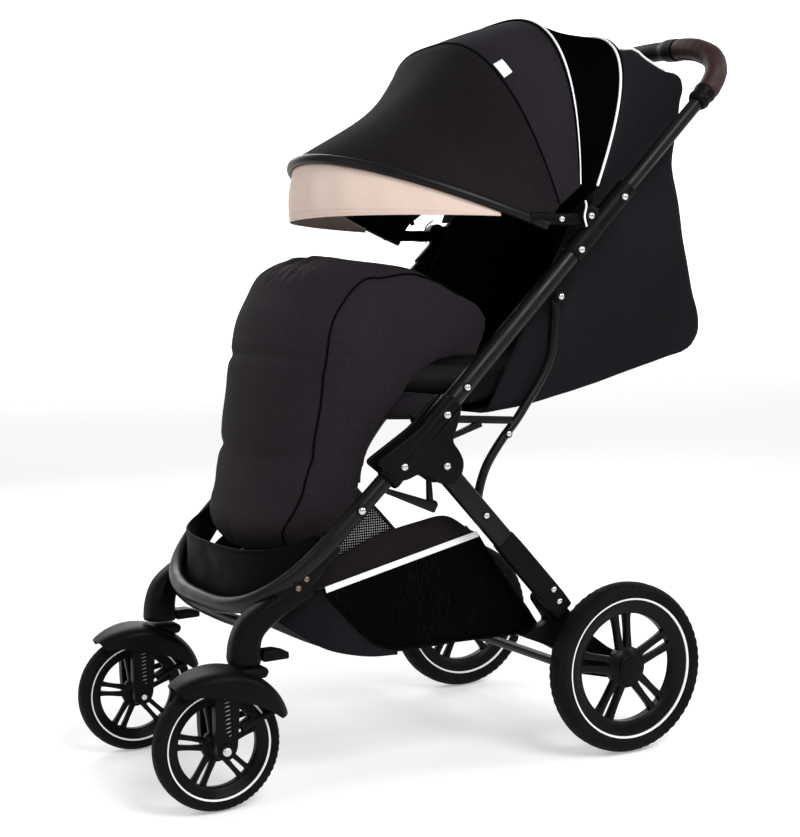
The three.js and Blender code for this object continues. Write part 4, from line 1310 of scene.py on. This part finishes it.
# Degrees from +Y, radius of the rear edge and of the seam, bulge of the front, half width at the seam.
MUFF_STATIONS = [
    (217, 215, 313, 18, 134), (212, 195, 312, 22, 138), (209, 184, 306, 26, 144), (206.2, 175, 289, 30, 154),
    (202, 163, 267, 32, 165), (192, 141, 239, 34, 172), (181, 118, 225, 34, 177), (172.2, 103, 220, 34, 178),
    (164.5, 95, 222, 34, 178), (155.8, 91, 226, 34, 178), (146.8, 88, 236, 34, 178),
    (139.1, 85, 240, 38, 177),
    (132.3, 82, 241, 50, 177), (126, 80, 239, 40, 178), (120, 79, 228, 25, 178), (112.4, 78, 217, 13, 179),
    (104, 77, 203, 8, 180), (96, 76, 187, 6, 182), (88, 76, 170, 4, 185), (80, 77, 161, 2, 187),
    (70, 84, 153, 1, 187),
]
MUFF_END = 70
MUFF_HEM = 88
MUFF_FOOT = 217
QUILTS = (159, 190)
MUFF_TABLE = smooth(MUFF_STATIONS, 240)[::-1]


def muff_at(degrees):
    """The muff's rear edge, seam, bulge and half width on a ray of the fan."""
    return [float(np.interp(degrees, MUFF_TABLE[:, 0], MUFF_TABLE[:, k])) for k in range(1, 5)]


def muff_place(degrees, share, inset, station):
    """A place on one section: share runs from the rear edge of a side over the front to the other side."""
    rear, seam, bulge, half = station
    side = 1 if share < 0.5 else -1
    along = 1 - abs(2 * share - 1)
    turned_in = 0.4
    if along < turned_in:
        t = along / turned_in
        x = mix(MUFF_HALF, half, t * t) - inset + 2.5 * math.sin(math.pi * t)
        r = mix(rear, seam - inset, t)
    else:
        t = (along - turned_in) / (1 - turned_in)
        x, r = (half - inset) * (1 - t), seam - inset + bulge * (1 - (1 - t) ** 2.4)
    turn = math.radians(degrees)
    return (side * x, MUFF_PIVOT[0] + r * math.cos(turn), MUFF_PIVOT[1] + r * math.sin(turn))


def muff_seam(sign, out):
    """The curved seam between the muff's front panel and its side."""
    path = []
    for degrees in np.linspace(MUFF_FOOT - 1, MUFF_HEM, 110):
        _, seam, _, half = muff_at(degrees)
        turn = math.radians(degrees)
        path.append((sign * (half + out), MUFF_PIVOT[0] + (seam + out) * math.cos(turn),
                     MUFF_PIVOT[1] + (seam + out) * math.sin(turn)))
    return path


def make_muff():
    """A wadded shell in one piece: two sides that run up past the hem of its front."""
    rows, columns = 91, 61
    wall = 9.0
    points = []
    for inset in (4.0, 4.0 + wall):
        for i in range(rows):
            share = i / (rows - 1)
            beside = min(1.0, max(0.0, (abs(2 * share - 1) - 0.5) / 0.16))
            last = mix(MUFF_HEM, MUFF_END, beside * beside * (3 - 2 * beside))
            for j in range(columns):
                degrees = mix(MUFF_FOOT, last, j / (columns - 1))
                points.append(muff_place(degrees, share, inset, muff_at(degrees)))
    layer = rows * columns
    faces = grid_faces(rows, columns) + grid_faces(rows, columns, start=layer)
    for i in range(rows - 1):
        for j in (0, columns - 1):
            a, b = i * columns + j, (i + 1) * columns + j
            faces.append([a, b, b + layer, a + layer])
    for j in range(columns - 1):
        for i in (0, rows - 1):
            a, b = i * columns + j, i * columns + j + 1
            faces.append([a, b, b + layer, a + layer])
    made = piece("footmuff_cloth", points, faces, "muff_fabric", 180)
    swollen(made, 5, 6)
    quilts = [[muff_place(degrees, share, 0, muff_at(degrees)) for share in np.linspace(0.215, 0.785, 50)]
              for degrees in QUILTS]
    seams = [muff_seam(sign, 1) for _, sign in SIDES]
    pressed(made, quilts, 5, 7)
    pressed(made, seams, 3, 6)
    softened(made, "muff_fabric", 2)
    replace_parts(made, "footmuff")
    pipings = [hugging(f"{side}_muff_piping", made, muff_seam(sign, 1), 1.5, "black_piping")
               for side, sign in SIDES]
    for soft in (made, *pipings):
        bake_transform(soft)


def hugging(name, cloth, path, r, look, sink=0.4):
    """A piping laid along a path on the surface of a piece of cloth."""
    tree = BVHTree.FromPolygons([v.co for v in cloth.data.vertices],
                                [p.vertices[:] for p in cloth.data.polygons])
    laid = []
    for p in path:
        place, normal, _, _ = tree.find_nearest(row(*p))
        place = place + normal * (r - sink) * MM
        laid.append((place.x / MM, (place.y - AXLE.y) / MM, place.z / MM))
    even = smooth(laid[::3], len(laid))
    return sweep(name, even, r, look, 12)


# ---- band, basket ----
def make_band():
    def point(u, v):
        angle = mix(0.30, math.pi - 0.30, u)
        x, y, z = rim_point(angle, 14.5)
        tall = mix(12, 80, math.sin(angle) ** 1.1)
        return (x * (1 - 0.012 * v), y + 3 * v + 1.6 * math.sin(math.pi * v), z - 4 + v * tall)

    made, size = sheet("footrest_band_cloth", point, 97, 15, "band_leatherette", 2.6)
    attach(made, "front_frame")
    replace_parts(made, "footrest_band")
    rim = [point(u, 1.0) for u in np.linspace(0, 1, 97)]
    edge = sweep("footrest_band_edge", rim, 2.0, "band_leatherette", 12)
    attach(edge, "front_frame")
    declare(made, size)


BASKET_FLOOR = [
    (-512, 262), (-503, 240), (-478, 219), (-440, 193), (-372, 175), (-300, 171), (-200, 173),
    (-116, 177), (-118, 196), (-150, 244), (-192, 306), (-222, 342),
]
BASKET_SEAM = [(-441, 275), (-434, 262), (-417, 242), (-396, 218), (-372, 196), (-350, 186), (-336, 183)]
BASKET_REAR = [(-205, 328), (-190, 303), (-150, 242), (-119, 196), (-117, 181)]


def basket_half(y):
    return mix(156, 187, min(1, max(0, (y + 505) / 70)) ** 0.7)


def at_share(curve, share):
    """The place at a share of the way along a curve of evenly spaced points."""
    place = share * (len(curve) - 1)
    low = min(int(place), len(curve) - 2)
    return curve[low] + (curve[low + 1] - curve[low]) * (place - low)


def make_basket():
    floor = smooth(BASKET_FLOOR, 60)
    seam = smooth(BASKET_SEAM, 40)
    rear = smooth(BASKET_REAR, 40)
    nose = smooth([(-512, 262), (-503, 240), (-478, 219), (-440, 194), (-384, 178), (-336, 174)], 40)

    def hung(made, size=None):
        if size:
            declare(made, size)
        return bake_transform(made)

    def body_point(u, v):
        side = mix(-1, 1, v)
        y, z = at_share(floor, u * (1 - 0.2 * u * math.cos(side * math.pi / 2) ** 0.7))
        x = (basket_half(y) - 1.5) * side
        rise = 8 * abs(side) ** 5 * math.sin(math.pi * u)
        sag = -5 * math.cos(side * math.pi / 2) * math.sin(math.pi * u) ** 2
        return (x, y, max(z + rise + sag, 168))

    made, size = sheet("basket_cloth", body_point, 60, 33, "painted_shade_cover_fabric", 1.8)
    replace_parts(made, "basket")
    hung(made, size)
    for side, sign in SIDES:
        def wall(start, end, belly):
            def point(u, v):
                y, z = mix(at_share(start, v), at_share(end, v), u)
                out = belly * math.sin(math.pi * v) * math.sin(math.pi * min(1, 0.15 + u))
                return (sign * (basket_half(y) + out), y, z)
            return point

        net, size = sheet(f"{side}_basket_net", wall(seam, rear, 3.0), 30, 20, "basket_mesh", 0.8)
        hung(net, size)
        front, size = sheet(f"{side}_basket_cheek", wall(nose, seam, 2.0), 24, 30, "painted_shade_cover_fabric", 1.6)
        hung(front, size)
        strip_line = straight((sign * 190, -441, 276), (sign * 190, -205, 329), 30)
        hung(sweep(f"{side}_basket_stripe", strip_line, (1.0, 4.4), "piping", 12, 4))
        edge_path = [(sign * (basket_half(y) + 1.8), y, z) for y, z in seam]
        edge_path += [(sign * 188, y, mix(183, 179, (y + 336) / 219))
                      for y in (-300, -260, -220, -180, -140, -117)]
        hung(sweep(f"{side}_basket_piping", smooth(edge_path, 60), 2.0, "black_piping", 10))
        rear_path = [(sign * 188, y, z) for y, z in rear]
        hung(sweep(f"{side}_basket_rear_piping", np.array(rear_path), 2.0, "black_piping", 10))
        top = smooth([(-470, 292), (-447, 307), (-412, 322), (-358, 341), (-296, 354), (-252, 358),
                      (-214, 334)], 40)
        low = smooth([(-462, 272), (-441, 277), (-206, 330)], 40)

        def flap_point(u, v):
            y, z = mix(at_share(low, u), at_share(top, u), v)
            return (sign * (basket_half(y) + 1.0 - 5 * v * v + 1.2 * math.sin(9 * u) * v), y, z)

        flap, size = sheet(f"{side}_basket_flap", flap_point, 40, 10, "painted_shade_hood_fabric", 1.6)
        hung(flap, size)

        def dots_point(u, v):
            lower = (mix(-440, -335, u), mix(308, 347, u))
            upper = (mix(-440, -362, u), mix(310, 381, u))
            return (sign * 178, mix(lower[0], upper[0], v), mix(lower[1], upper[1], v))

        dots, size = sheet(f"{side}_dotted_net", dots_point, 14, 10, "dot_mesh", 0.6)
        declare(dots, size)
        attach(dots, "front_frame")


def dress_cad():
    """The CAD nodes still shown get the look of their slot."""
    slots = {part["node"]: part["material_slot"] for part in frame["record"]["subparts"]}
    for name, node in frame["nodes"].items():
        if not node.hide_render:
            node.data.materials.clear()
            node.data.materials.append(LOOKS[slots[name]].material)
            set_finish(node, slots[name])


make_camera()
make_studio()
make_frame()
make_handle()
make_wheels()
make_front_end()
make_rear_end()
make_canopy()
make_seat()
make_back_cover()
make_muff()
make_band()
make_basket()
dress_cad()
